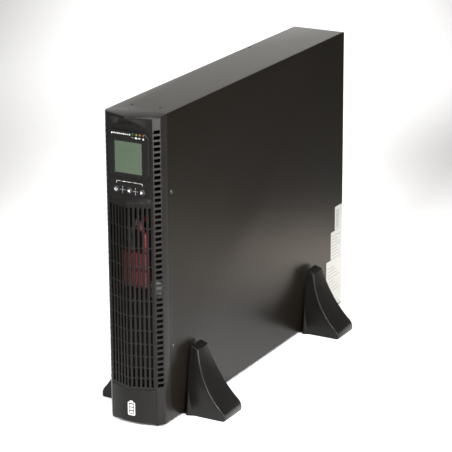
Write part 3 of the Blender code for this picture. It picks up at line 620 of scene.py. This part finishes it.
def build_cap(name, outline, low, high):
    """A plate over the bezel's plan, rounded along its outer edge but flat where it meets the case."""
    steps = 5
    at_top = high > HEIGHT / 2
    bm = bmesh.new()
    rings = []
    for k in range(steps + 1):
        a = math.pi / 2 * k / steps
        inset = RIM_RADIUS * (1 - math.cos(a))
        height = RIM_RADIUS * math.sin(a)
        z = high - RIM_RADIUS + height if at_top else low + RIM_RADIUS - height
        rings.append([bm.verts.new((*p, z)) for p in inset_outline(outline, inset)])
    back_z = low if at_top else high
    rings.insert(0, [bm.verts.new((*p, back_z)) for p in outline])
    face(bm, rings[0])
    face(bm, reversed(rings[-1]))
    for a, b in zip(rings, rings[1:]):
        join_rings(bm, a, b)
    add_piece(name, bm, "bezel", "bezel", smooth=30)


def inset_outline(outline, amount):
    """Move an outline's points inward by amount, but keep its first and last on their line at the case."""
    if not amount:
        return outline
    moved = []
    for i, p in enumerate(outline):
        sides = []
        for a, b in ((outline[i - 1], p), (p, outline[(i + 1) % len(outline)])):
            way = Vector((b[0] - a[0], b[1] - a[1])).normalized()
            at_case = max(abs(a[1] + GAP), abs(b[1] + GAP)) < TOUCH
            sides.append((Vector((way.y, -way.x)), 0.0 if at_case else amount))
        (n1, d1), (n2, d2) = sides
        cross = n1.x * n2.y - n1.y * n2.x
        shift = Vector(((d1 * n2.y - d2 * n1.y) / cross, (n1.x * d2 - n2.x * d1) / cross))
        moved.append((p[0] + shift.x, p[1] + shift.y))
    return moved


def build_grille():
    middles = [SLOT_PITCH * (k - SLOT_COLUMNS // 2) for k in range(SLOT_COLUMNS)]
    slots = [x + side * SLOT_WIDTH / 2 for x in middles for side in (-1, 1)]
    us = sorted([GRILLE_LOW.x, *slots, GRILLE_HIGH.x, 0.0])
    vs = [GRILLE_LOW.z, *slot_edges(), GRILLE_HIGH.z]
    crease = us.index(0.0)

    def place(u, v, depth):
        return Vector((u, -prow_reach(u) + WALL * depth, v))

    def is_open(i, j):
        column = i if i < crease else i - 1
        return j % 2 == 1 and column % 2 == 1
    bm = bmesh.new()
    lattice_mesh(bm, place, us, vs, is_open)
    add_piece("grille_bars", bm, "bezel", "bezel", replaces=("front_grille",), bevel=0.6, segments=3,
              smooth=60)


def build_lower_plate():
    steps = 32
    xs = [PLATE_HIGH.x * (2 * i / steps - 1) for i in range(steps + 1)]
    outline = [(x, -plate_reach(x)) for x in xs] + [(x, -plate_reach(x) + WALL) for x in reversed(xs)]
    solid("lower_plate_shell", outline, "Z", PLATE_LOW.z, PLATE_HIGH.z, "bezel", "bezel",
          replaces=("lower_plate",), bevel=0.7, segments=3)
    build_emblem()


def build_emblem():
    """A plain battery pictogram: an outline with a terminal and three charge bars."""
    front, back = EMBLEM_LOW.y, EMBLEM_HIGH.y
    half_width, half_height, wall = 5.6, 9.6, 1.3
    centre = (0, EMBLEM_Z - 1)
    bm = bmesh.new()
    frame_mesh(bm, rounded(centre, half_width, half_height, 1.6),
               rounded(centre, half_width - wall, half_height - wall, 0.7), "Y", front, back)
    prism_mesh(bm, rounded((0, EMBLEM_Z + 9.9), 2.4, 0.9, 0.5), "Y", front, back)
    for k in range(3):
        prism_mesh(bm, rounded((0, EMBLEM_Z - 6.2 + 5.0 * k), 2.9, 1.6, 0.4), "Y", front, back)
    add_piece("battery_emblem", bm, "ink", "bezel", replaces=("emblem",), bevel=0.12, smooth=40)


def build_control_panel():
    """The flat panel, the scooped lip over it and the shelf under it, which both reach out to the prow."""
    half, columns = PANEL_HIGH.x, 8
    us = [half * k / columns for k in range(-columns, columns + 1)]
    vs = [PANEL_LOW.z, PANEL_LOW.z + LIP_EDGE, PANEL_BOTTOM, PANEL_TOP, PANEL_HIGH.z - LIP_EDGE, PANEL_HIGH.z]

    def place(u, v, depth):
        reach = PANEL_REACH if v in (PANEL_BOTTOM, PANEL_TOP) else prow_reach(u)
        z = v - SCOOP_DROP * abs(u) / half if v == PANEL_TOP else v
        return Vector((u, -PANEL_REACH + WALL if depth else -reach, z))
    bm = bmesh.new()
    lattice_mesh(bm, place, us, vs, lambda i, j: False)
    panel = add_piece("control_panel_face", bm, "panel", "bezel", replaces=("control_panel",), bevel=0.3,
                      smooth=18)
    holes = [circle((x, z), r + BUTTON_GAP, 32) for x, z, r in map(disc_of, BUTTON_NODES)]
    holes.insert(0, circle((0, DISPLAY_Z), HUB_RADIUS + GAP, 40))
    carve(panel, holes, "Y", -PANEL_REACH - 1, -PANEL_REACH + 4)


def build_buttons():
    """Soft domed caps with a white mark on each."""
    for node, body in zip(BUTTON_NODES, ("power_button", "left_button", "right_button")):
        low, high = unit_box(node)
        x, z, radius = disc_of(node)
        length = high.y - low.y
        profile = [(0.001, 0.18), (radius * 0.55, 0.10), (radius * 0.86, 0.16), (radius * 0.97, 0.45),
                   (radius, 0.9), (radius, length), (0.001, length)]
        turned(f"{node}_cap", profile, (x, low.y, z), "Y", 40, "rubber", body, replaces=(node,), smooth=40)
    centres = [disc_of(node)[:2] for node in BUTTON_NODES]
    front = unit_box(BUTTON_NODES[0])[0].y
    power_mark(centres[0], front)
    arrow_mark("left", centres[1], -1, front)
    arrow_mark("right", centres[2], 1, front)
    build_legends(centres)


def power_mark(centre, front):
    """An open ring with a bar through the gap."""
    x, z = centre
    opening, sweep, steps = 125, 290, 20
    bm = bmesh.new()
    outer, inner = (bend(centre, radius, opening, sweep, steps) for radius in (2.1, 1.45))
    prism_mesh(bm, outer + inner[::-1], "Y", front, front + MARK_DEPTH)
    ink_line(bm, (x, z + 0.62), (x, z + 2.28), 0.64, front, MARK_DEPTH)
    add_piece("power_mark", bm, "ink", "power_button")


def arrow_mark(side, centre, way, front):
    x, z = centre
    tip, tail, half = x + 2.3 * way, x - 1.6 * way, 2.2
    bm = bmesh.new()
    prism_mesh(bm, [(tip, z), (tail, z + half), (tail, z - half)], "Y", front, front + MARK_DEPTH)
    add_piece(f"{side}_mark", bm, "ink", f"{side}_button", bevel=0.1, smooth=30)


def ink_line(bm, start, stop, width, front, depth=0.35):
    """A printed stroke on a face that looks along -Y."""
    a, b = Vector(start), Vector(stop)
    way = (b - a).normalized() * width / 2
    side = Vector((-way.y, way.x))
    corners = [a - way + side, b + way + side, b + way - side, a - way - side]
    prism_mesh(bm, [tuple(c) for c in corners], "Y", front, front + depth)


def build_legends(centres):
    """The bracket over the buttons and the crosses between them."""
    front = -PANEL_REACH - PRINT_PROUD
    bm = bmesh.new()
    z = centres[0][1]
    left, right = centres[0][0] + 0.8, centres[2][0] + 0.8
    top = z + 12.0
    hook, arm, margin, dashes = top - 3.4, 6, 8.6, 9
    for a, b in (((left, hook), (left, top)), ((left, top), (left + arm, top)),
                 ((right - arm, top), (right, top)), ((right, top), (right, hook))):
        ink_line(bm, a, b, 0.45, front)
    for k in range(dashes):
        x = left + margin + (right - left - 2 * margin) * k / (dashes - 1)
        ink_line(bm, (x - 0.55, top), (x + 0.55, top), 0.9 if k % 3 == 1 else 0.5, front)
    add_piece("menu_bracket", bm, "ink", "bezel")
    bm = bmesh.new()
    for a, b in zip(centres, centres[1:]):
        x = (a[0] + b[0]) / 2
        ink_line(bm, (x, z - 4.6), (x, z + 4.8), 0.7, front)
        for side in (-1, 1):
            ink_line(bm, (x + 0.36 * side, z + 0.1), (x + 4.0 * side, z + 0.1), 0.5, front)
    add_piece("button_dividers", bm, "grey_ink", "bezel")


def build_display():
    """The turning module: a stepped housing, a framed liquid crystal, lights and their pictograms."""
    half_w = (WINDOW_HIGH.x - WINDOW_LOW.x) / 2
    half_h = (WINDOW_HIGH.z - WINDOW_LOW.z) / 2
    window = ((WINDOW_HIGH.x + WINDOW_LOW.x) / 2, (WINDOW_HIGH.z + WINDOW_LOW.z) / 2)

    def pane(growth, radius):
        return rounded(window, half_w + growth, half_h + growth, radius)

    outline = chamfered((0.0, DISPLAY_Z), DISPLAY_HALF, DISPLAY_HALF, DISPLAY_CHAMFER)
    housing = solid("display_shell", outline, "Y", DISPLAY_FRONT, DISPLAY_BACK, "panel", "display",
                    replaces=("display_housing",), bevel=0.7, segments=3)
    led_places = [disc_of(node) for node in LED_NODES]
    holes = [pane(0.3, 1.0), *[circle((x, z), r + 0.15, 24) for x, z, r in led_places]]
    carve(housing, holes, "Y", DISPLAY_FRONT - 1, DISPLAY_FRONT + 1.4)
    bore, length = 11.0, 5.6
    profile = [(bore, 0.0), (HUB_RADIUS, 0.0), (HUB_RADIUS, length - 0.4), (HUB_RADIUS - 0.6, length),
               (bore, length), (bore, 0.0)]
    turned("display_hub", profile, (0, DISPLAY_BACK, DISPLAY_Z), "Y", 40, "panel", "display")

    front = DISPLAY_FRONT + 0.35
    bm = bmesh.new()
    frame_mesh(bm, pane(0.15, 0.9), pane(-0.75, 0.5), "Y", front - 0.15, front + 0.5)
    add_piece("display_gasket", bm, "lcd_edge", "display")
    solid("liquid_crystal", pane(-0.6, 0.5), "Y", front, front + 0.7, "lcd", "display",
          replaces=("display_window",), bevel=0.08)
    build_idle_segments(window, half_w, half_h, front)

    for node, (x, z, r) in zip(LED_NODES, led_places):
        profile = [(0.001, 0.0), (r * 0.6, 0.06), (r, 0.35), (r, 1.3), (0.001, 1.3)]
        colour = {"led_line": "led_green", "led_fault": "led_red"}.get(node, "led_amber")
        turned(f"{node}_lens", profile, (x, DISPLAY_FRONT - 0.18, z), "Y", 24, colour, "display",
               replaces=(node,), smooth=50)
    build_display_marks(led_places)


def build_idle_segments(window, half_w, half_h, front):
    """The faint cells of a display that is switched off: bars down both sides and three digits between."""
    bm = bmesh.new()
    x, z = window
    stroke, reach, half_digit, pitch = 0.5, 1.7, 2.3, 7.6

    def cell(outline):
        prism_mesh(bm, outline, "Y", front - 0.03, front + 0.2)

    for side in (-1, 1):
        for k in range(5):
            cell(rounded((x + side * half_w * 0.78, z - half_h * 0.45 + k * 4.4), 1.9, 1.5, 0.3, 2))
    for k in range(3):
        middle = (x + pitch * (k - 1), z + 2)
        for dz in (-2 * half_digit, 0.0, 2 * half_digit):
            cell(chamfered((middle[0], middle[1] + dz), reach, stroke, 0.3))
        for dx in (-half_digit, half_digit):
            for dz in (-half_digit, half_digit):
                cell(chamfered((middle[0] + dx, middle[1] + dz), stroke, reach, 0.3))
    add_piece("idle_segments", bm, "lcd_ghost", "display")


def build_display_marks(led_places):
    """Small marks instead of words: a row of beads on the left, and a pictogram under each light."""
    front = DISPLAY_FRONT - PRINT_PROUD
    z = led_places[0][1]
    bm = bmesh.new()
    start, stop, count = -24.5, 3.0, 10
    for k in range(count):
        x = start + (stop - start) * k / (count - 1)
        tall = 1.5 if k % 3 else 2.3
        prism_mesh(bm, rounded((x, z - 1.0), 0.72, tall / 2, 0.3, 2), "Y", front, front + PRINT_DEPTH)
    add_piece("status_beads", bm, "ink", "display")
    bm = bmesh.new()
    low = z - 4.6
    line, battery, bypass, fault = (x for x, _, _ in led_places)
    wave = [(line + 0.32 * (s - 6), low + 0.75 * math.sin(s * math.pi / 6)) for s in range(13)]
    for a, b in zip(wave, wave[1:]):
        ink_line(bm, a, b, 0.35, front, PRINT_DEPTH)
    for outline in (rounded((battery, low), 1.7, 0.95, 0.25, 2),
                    [(bypass - 1.7, low - 1.0), (bypass + 1.7, low), (bypass - 1.7, low + 1.0)],
                    [(fault - 1.5, low - 1.1), (fault + 1.5, low - 1.1), (fault, low + 1.3)]):
        prism_mesh(bm, outline, "Y", front, front + PRINT_DEPTH)
    add_piece("status_marks", bm, "ink", "display")


# ------------ tower feet

def build_feet():
    """Four feet, each with a fin, ribs at its root and a plate under the case."""
    for node in [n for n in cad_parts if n.startswith("foot_")]:
        low, high = unit_box(node)
        side = 1 if low.x + high.x > 0 else -1
        reach = max(abs(low.x), abs(high.x))
        inner = FIN_INNER[side]
        middle = (low.y + high.y) / 2
        build_fin(f"{node}_fin", node, side, (inner, reach), middle, low.z)
        build_buttress(f"{node}_buttress", side, inner, middle, low.z)
        root, inside = side * (inner + 4), low.x if side > 0 else high.x
        outline = [(root, low.y), (inside, low.y), (inside, high.y), (root, high.y)]
        solid(f"{node}_plate", outline, "Z", low.z, low.z + FOOT_PLATE, "foot", "case", bevel=0.5)


def fin_edge(inner, reach):
    """The outer edge of the fin from the floor up, with x from the unit's middle and z from the floor."""
    toe, shoulder = Vector((reach - 4.9, 15.6)), Vector((inner + 12.0, FOOT_HEIGHT - 4.2))
    pull = Vector((inner + 0.375 * (reach - inner), 46.0))
    steps = 22
    sweep = [(1 - t) ** 2 * toe + 2 * t * (1 - t) * pull + t * t * shoulder
             for t in [k / steps for k in range(steps + 1)]]
    rounded_toe = [Vector((reach - 0.6, 0.0)), Vector((reach - 0.2, 3.0)), Vector((reach, 6.0)),
                   Vector((reach - 0.7, 9.2)), Vector((reach - 2.4, 12.6))]
    return rounded_toe + sweep


def half_depth(z):
    """Half of the fin's thickness from front to rear at a height over the floor."""
    return FOOT_BASE_HALF + (FOOT_TOP_HALF - FOOT_BASE_HALF) * (z / FOOT_HEIGHT) ** 2


def build_fin(name, node, side, reaches, y, floor_z):
    """A fin that narrows upwards, with round edges down its front and rear and a sloping cap."""
    inner, reach = reaches
    bm = bmesh.new()
    rows = []
    for x, z in fin_edge(inner, reach):
        half = half_depth(z)
        ring = [(inner, -half), *fin_corner(x, half, -1), *fin_corner(x, half, 1), (inner, half)]
        rows.append([bm.verts.new((side * a, y + b, floor_z + z)) for a, b in ring])
    face(bm, rows[0])
    for a, b in zip(rows, rows[1:]):
        join_rings(bm, a, b)
    crown = [bm.verts.new((side * inner, y + end * half_depth(FOOT_HEIGHT), floor_z + FOOT_HEIGHT))
             for end in (-1, 1)]
    top = rows[-1]
    face(bm, (top[0], top[1], crown[0]))
    face(bm, [*top[1:-1], crown[1], crown[0]])
    face(bm, (top[-2], top[-1], crown[1]))
    face(bm, (top[-1], top[0], crown[0], crown[1]))
    add_piece(name, bm, "foot", "case", replaces=(node,), bevel=0.5, smooth=28)


def fin_corner(x, half, end):
    """Points that round the fin's outer edge, at its front (end -1) or rear (end 1)."""
    steps = 4
    turns = [math.pi / 2 * k / steps for k in range(steps + 1)]
    if end > 0:
        turns.reverse()
    return [(x - FIN_EDGE + FIN_EDGE * math.sin(a), end * (half - FIN_EDGE + FIN_EDGE * math.cos(a)))
            for a in turns]


def build_buttress(name, side, inner, y, floor_z):
    """A low pointed rib at the root of the fin's front and rear faces."""
    bm = bmesh.new()
    apex_z = 47.0
    root = ((inner - 0.5, -1.0), (inner - 0.3, 3.3), (inner + 3.0, 3.3), (inner + 12.5, -1.0))
    for end in (-1, 1):
        apex = bm.verts.new((side * (inner + 1.5), y + end * (half_depth(apex_z) - 0.3), floor_z + apex_z))
        ring = [bm.verts.new((side * a, y + end * (FOOT_BASE_HALF + b), floor_z + 0.1)) for a, b in root]
        face(bm, ring)
        for a, b in zip(ring, ring[1:] + ring[:1]):
            face(bm, (a, b, apex))
    add_piece(name, bm, "foot", "case", smooth=20)


# ------------ rear panel

REAR_LOW, REAR_HIGH = unit_box("rear_panel")
REAR = REAR_HIGH.y
GUARD_RINGS = (7.6, 14.2, 20.8, 27.4)
GUARD_REACH = 35.0
WIRE_RADIUS = 0.75
HUB = 12.0
BLADES = 7
BLADE_TIP = 26.3
BLADE_HALF = 0.55


def centre_of(node):
    low, high = unit_box(node)
    return (low + high) / 2


def build_guard(name):
    """A wire guard: rings on two crossed wires, held by four screws."""
    centre = centre_of(f"fan_guard_{name}")
    y = REAR + 1.3
    bm = bmesh.new()
    steps = 40
    for radius in GUARD_RINGS:
        ring = [(centre.x + radius * math.cos(math.tau * k / steps), y,
                 centre.z + radius * math.sin(math.tau * k / steps)) for k in range(steps)]
        tube_mesh(bm, ring, WIRE_RADIUS, 8, closed=True)
    middle = Vector((centre.x, REAR + 0.9, centre.z))
    for a in (math.pi / 4, 3 * math.pi / 4):
        way = Vector((math.cos(a), 0, math.sin(a)))
        tube_mesh(bm, [middle - way * GUARD_REACH, middle + way * GUARD_REACH], WIRE_RADIUS, 8)
    add_piece(f"fan_guard_{name}_wires", bm, "zinc", "case", replaces=(f"fan_guard_{name}",), smooth=60)
    for k in range(4):
        a = math.pi / 4 + k * math.pi / 2
        place = (centre.x + GUARD_REACH * math.cos(a), REAR + 0.4, centre.z + GUARD_REACH * math.sin(a))
        build_screw(f"guard_screw_{name}_{k + 1}", place, "Y", 2.8)


def build_rotor(name):
    """A hub with curved blades, drawn in place of the plain rotor."""
    node = f"fan_rotor_{name}"
    low, high = unit_box(node)
    centre, depth = centre_of(node), high.y - low.y
    bm = bmesh.new()
    profile = [(0.001, 0.0), (HUB - 0.4, 0.0), (HUB, 0.5), (HUB, depth - 1.2), (HUB - 0.8, depth - 0.2),
               (0.001, depth)]
    turned_mesh(bm, profile, (centre.x, low.y, centre.z), "Y", 36)
    for k in range(BLADES):
        blade_mesh(bm, centre, math.tau * k / BLADES, low.y + 2.2, high.y - 2.2)
    add_piece(f"{node}_blades", bm, "fan", f"{name}_rotor", replaces=(node,), smooth=40)


def blade_mesh(bm, centre, turn, front, back):
    """One swept, twisted blade: two sheets and the bands that close them."""
    cells = 6
    root = HUB - 0.8

    def sheet(side):
        rows = []
        for i in range(cells + 1):
            out = i / cells
            radius = root + (BLADE_TIP - root) * out
            row = []
            for j in range(cells + 1):
                t = j / cells
                a = turn + 0.10 * out + (0.34 - 0.12 * out) * (2 * t - 1) + 0.05 * math.sin(math.pi * t)
                a += side * BLADE_HALF / radius
                row.append(bm.verts.new((centre.x + radius * math.cos(a), front + (back - front) * t,
                                         centre.z + radius * math.sin(a))))
            rows.append(row)
        return rows

    a, b = sheet(-1), sheet(1)
    for i in range(cells):
        for j in range(cells):
            face(bm, (a[i][j], a[i + 1][j], a[i + 1][j + 1], a[i][j + 1]))
            face(bm, (b[i][j], b[i][j + 1], b[i + 1][j + 1], b[i + 1][j]))
        for end in (0, cells):
            face(bm, (a[i][end], a[i + 1][end], b[i + 1][end], b[i][end]))
            face(bm, (a[end][i], a[end][i + 1], b[end][i + 1], b[end][i]))


def build_rear_screws():
    """Screws along the rear panel's edges, on the slot cover and beside the sockets."""
    edge = REAR_HIGH.x - 4.5
    places = [(x, z) for x in (-edge, edge) for z in (REAR_LOW.z + 5, 185.0, 333.0, REAR_HIGH.z - 5)]
    for k, (x, z) in enumerate(places):
        build_screw(f"rear_screw_{k + 1}", (x, REAR + 0.02, z), "Y", 2.6)
    low, high = unit_box("network_slot_cover")
    profile = [(0.001, 0.0), (4.2, 0.0), (4.6, 0.4), (4.6, 2.2), (4.0, 2.9), (1.6, 3.0), (1.4, 2.4),
               (0.001, 2.4)]
    x = (low.x + high.x) / 2
    for k, z in enumerate((low.z + 5.5, high.z - 5.5)):
        turned(f"slot_thumbscrew_{k + 1}", profile, (x, high.y, z), "Y", 36, "zinc", "case", smooth=40)
    low, high = unit_box("power_inlet")
    for k, x in enumerate((low.x + 4.2, high.x - 4.2)):
        build_screw(f"inlet_screw_{k + 1}", (x, high.y - 0.2, (low.z + high.z) / 2), "Y", 2.2, "zinc")


# Stickers on the side cover, as (name, width, bottom, top), and the lines printed on them, as
# (count, front end, nearest rear end, how far the rear end steps, steps, lowest line, pitch, thicknesses),
# with the ends measured from the cover's rear edge
STICKERS = (("barcode", 25.0, 127.5, 165.5), ("rating", 38.5, 82.5, 127.0), ("notice", 53.5, 2.5, 82.0))
PRINTED_LINES = ((14, 22, 11, 0, 1, 131.0, 2.1, (0.5, 0.9, 0.4, 0.7)), (7, 35, 8, 5, 3, 88.0, 5.2, (0.6,)),
                 (12, 49, 8, 7, 4, 8.0, 5.6, (0.6,)))
STICKER_MARGIN = 0.4
STICKER_THICKNESS = 0.12
PRINT_THICKNESS = 0.04


def build_labels():
    """Three stickers at the rear of the side cover, with a bar code and plain lines in place of words."""
    surface = HALF_WIDTH + STICKER_THICKNESS
    for name, wide, low, high in STICKERS:
        centre = (DEPTH - wide / 2 - STICKER_MARGIN, (low + high) / 2)
        solid(f"{name}_sticker", rounded(centre, wide / 2, (high - low) / 2, 1.0, 3), "X", HALF_WIDTH + 0.01,
              surface, "label", "case")
    bm = bmesh.new()
    for count, first, last, step, steps, lowest, pitch, thicknesses in PRINTED_LINES:
        for k in range(count):
            z, thick = lowest + pitch * k, thicknesses[k % len(thicknesses)]
            front, rear = DEPTH - first, DEPTH - last - step * (k % steps)
            prism_mesh(bm, [(front, z), (rear, z), (rear, z + thick), (front, z + thick)], "X", surface,
                       surface + PRINT_THICKNESS)
    add_piece("sticker_lines", bm, "label_print", "case")


# ------------ CAD pieces that are kept

KEPT = {
    "steel": ("front_bulkhead", "battery_door", "rear_panel"),
    "galvanised": ("battery_tray", "network_slot_cover"),
    "zinc": ("serial_port", "usb_port"),
    "board": ("main_board", "display_board"),
    "battery": ("battery_1", "battery_2", "battery_3", "battery_4"),
    "red_plastic": ("connector_battery_side", "connector_unit_side"),
    "red_wire": ("battery_lead_red",),
    "black_wire": ("battery_lead_black",),
    "aluminium": ("heatsink_upper", "heatsink_lower"),
    "winding": ("transformer",),
    "copper": ("choke",),
    "capacitor": ("capacitor_1", "capacitor_2"),
    "fan": ("fan_frame_upper", "fan_frame_lower"),
    "outlet": ("outlet_block_upper", "outlet_block_lower", "power_inlet", "breaker_body"),
    "rubber": ("breaker_button",),
    "green_plastic": ("epo_terminal",),
    "brass": ("ground_screw",),
}
SHARP_KEPT = ("battery_lead_red", "battery_lead_black")


def finish_kept_nodes():
    """Give each CAD node that stays its own finish, and soften its edges."""
    for material, nodes in KEPT.items():
        for node in nodes:
            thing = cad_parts[node]
            thing.data.materials.clear()
            thing.data.materials.append(MATERIALS[material])
            if node in SHARP_KEPT:
                continue
            weld = thing.modifiers.new("weld", "WELD")
            weld.merge_threshold = 1e-5
            round_edges(thing, 0.3, 2, 40)


# ------------ floor and lights

FLOOR_HALF_M = 14.0
FLOOR_GREY = 0.86
WHITE = (1.0, 1.0, 1.0)
SKY = (1.0, 0.975, 0.945)
SKY_STRENGTH = 0.32
IVORY = (1.0, 0.985, 0.95)
WARM = (1.0, 0.84, 0.66)


def build_stage():
    bm = bmesh.new()
    bmesh.ops.create_grid(bm, x_segments=1, y_segments=1, size=FLOOR_HALF_M)
    floor = mesh_object("floor", bm)
    floor.location.z = CAD_BOUNDS[0][2]
    material, nodes, _ = new_material("pale_floor")
    inputs = nodes["Principled BSDF"].inputs
    inputs["Base Color"].default_value = (*[FLOOR_GREY] * 3, 1.0)
    inputs["Roughness"].default_value = 0.9
    floor.data.materials.append(material)


def add_lamp(name, size, power, spread, colour):
    """A rectangular light that the camera can't see. Sizes are in metres and the spread in degrees."""
    light = bpy.data.lights.new(name, "AREA")
    light.shape = "RECTANGLE"
    light.size, light.size_y = size
    light.energy = power
    light.color = colour
    light.spread = math.radians(spread)
    lamp = link_object(name, light)
    lamp.visible_camera = False
    return lamp


def add_softbox(name, size, power, azimuth, height, distance, aim, spread, colour=WHITE):
    """A light aimed at a point, and placed by azimuth from the front towards the right side."""
    lamp = add_lamp(name, size, power, spread, colour)
    turn = math.radians(azimuth)
    lamp.location = (distance * math.sin(turn), -distance * math.cos(turn), height)
    lamp.rotation_euler = (Vector(aim) - lamp.location).to_track_quat("-Z", "Y").to_euler()


def view_point(across, along, height):
    """The point that lies across to the camera's right and along its view, from the middle of the floor."""
    turn = math.radians(CAMERA_AZIMUTH)
    return Vector((across * math.cos(turn) - along * math.sin(turn),
                   across * math.sin(turn) + along * math.cos(turn), height))


def add_pool(name, size, power, across, along, height, spread, colour=WHITE):
    """A light that looks straight down and brightens a patch of floor under it."""
    lamp = add_lamp(name, size, power, spread, colour)
    lamp.location = view_point(across, along, height)
    lamp.rotation_euler = (0, 0, math.radians(CAMERA_AZIMUTH))


def build_lights():
    """An even sky, softboxes for the highlights on the object, and pools of light on the floor."""
    world = bpy.data.worlds.new("studio")
    bpy.context.scene.world = world
    world.use_nodes = True
    background = world.node_tree.nodes["Background"]
    background.inputs["Color"].default_value = (*SKY, 1.0)
    background.inputs["Strength"].default_value = SKY_STRENGTH
    add_softbox("back", (1.1, 0.3), 1.3, CAMERA_AZIMUTH + 191, 0.57, 1.0, (0.0, 0.1, 0.44), 150, IVORY)
    add_softbox("front_right", (0.3, 0.45), 6.5, 70, 0.22, 1.6, (0.08, -0.15, 0.10), 80)
    add_softbox("front", (0.25, 0.3), 5.0, 10, 1.10, 1.7, (0.0, -0.27, 0.35), 60)
    add_softbox("edge_strip", (0.12, 0.8), 3.2, 42, 0.95, 1.3, (0.08, -0.15, 0.08), 50)
    add_pool("near_strip", (0.36, 2.0), 5.4, -0.02, 0.2, 1.0, 64)
    add_pool("far_strip", (1.0, 2.0), 9.0, 0.05, 2.3, 1.0, 70)
    add_pool("right_pool", (0.5, 0.5), 2.0, 0.50, -0.62, 0.9, 70)
    add_pool("front_pool", (0.5, 0.5), 2.0, 0.16, -1.05, 0.9, 60)
    add_pool("warm_pool", (0.16, 0.16), 0.75, 0.38, 0.30, 0.7, 42, WARM)


def build_camera():
    azimuth, elevation, roll = (math.radians(a) for a in (CAMERA_AZIMUTH, CAMERA_ELEVATION, CAMERA_ROLL))
    target = ORIGIN + Vector(CAMERA_TARGET) * MM
    back = Vector((math.sin(azimuth) * math.cos(elevation), -math.cos(azimuth) * math.cos(elevation),
                   math.sin(elevation)))
    camera = link_object("camera", bpy.data.cameras.new("camera"))
    camera.data.lens = CAMERA_LENS
    camera.data.sensor_width = CAMERA_SENSOR
    camera.location = target + back * CAMERA_DISTANCE_M
    turn = back.to_track_quat("Z", "Y").to_matrix() @ Matrix.Rotation(-roll, 3, "Z")
    camera.rotation_euler = turn.to_euler()
    bpy.context.scene.camera = camera


build_camera()
build_stage()
build_lights()
build_case()
build_bezel_frame()
build_grille()
build_lower_plate()
build_control_panel()
build_buttons()
build_display()
build_feet()
for fan in ("upper", "lower"):
    build_guard(fan)
    build_rotor(fan)
build_rear_screws()
build_labels()
finish_kept_nodes()
bpy.context.scene.view_settings.view_transform = "Standard"
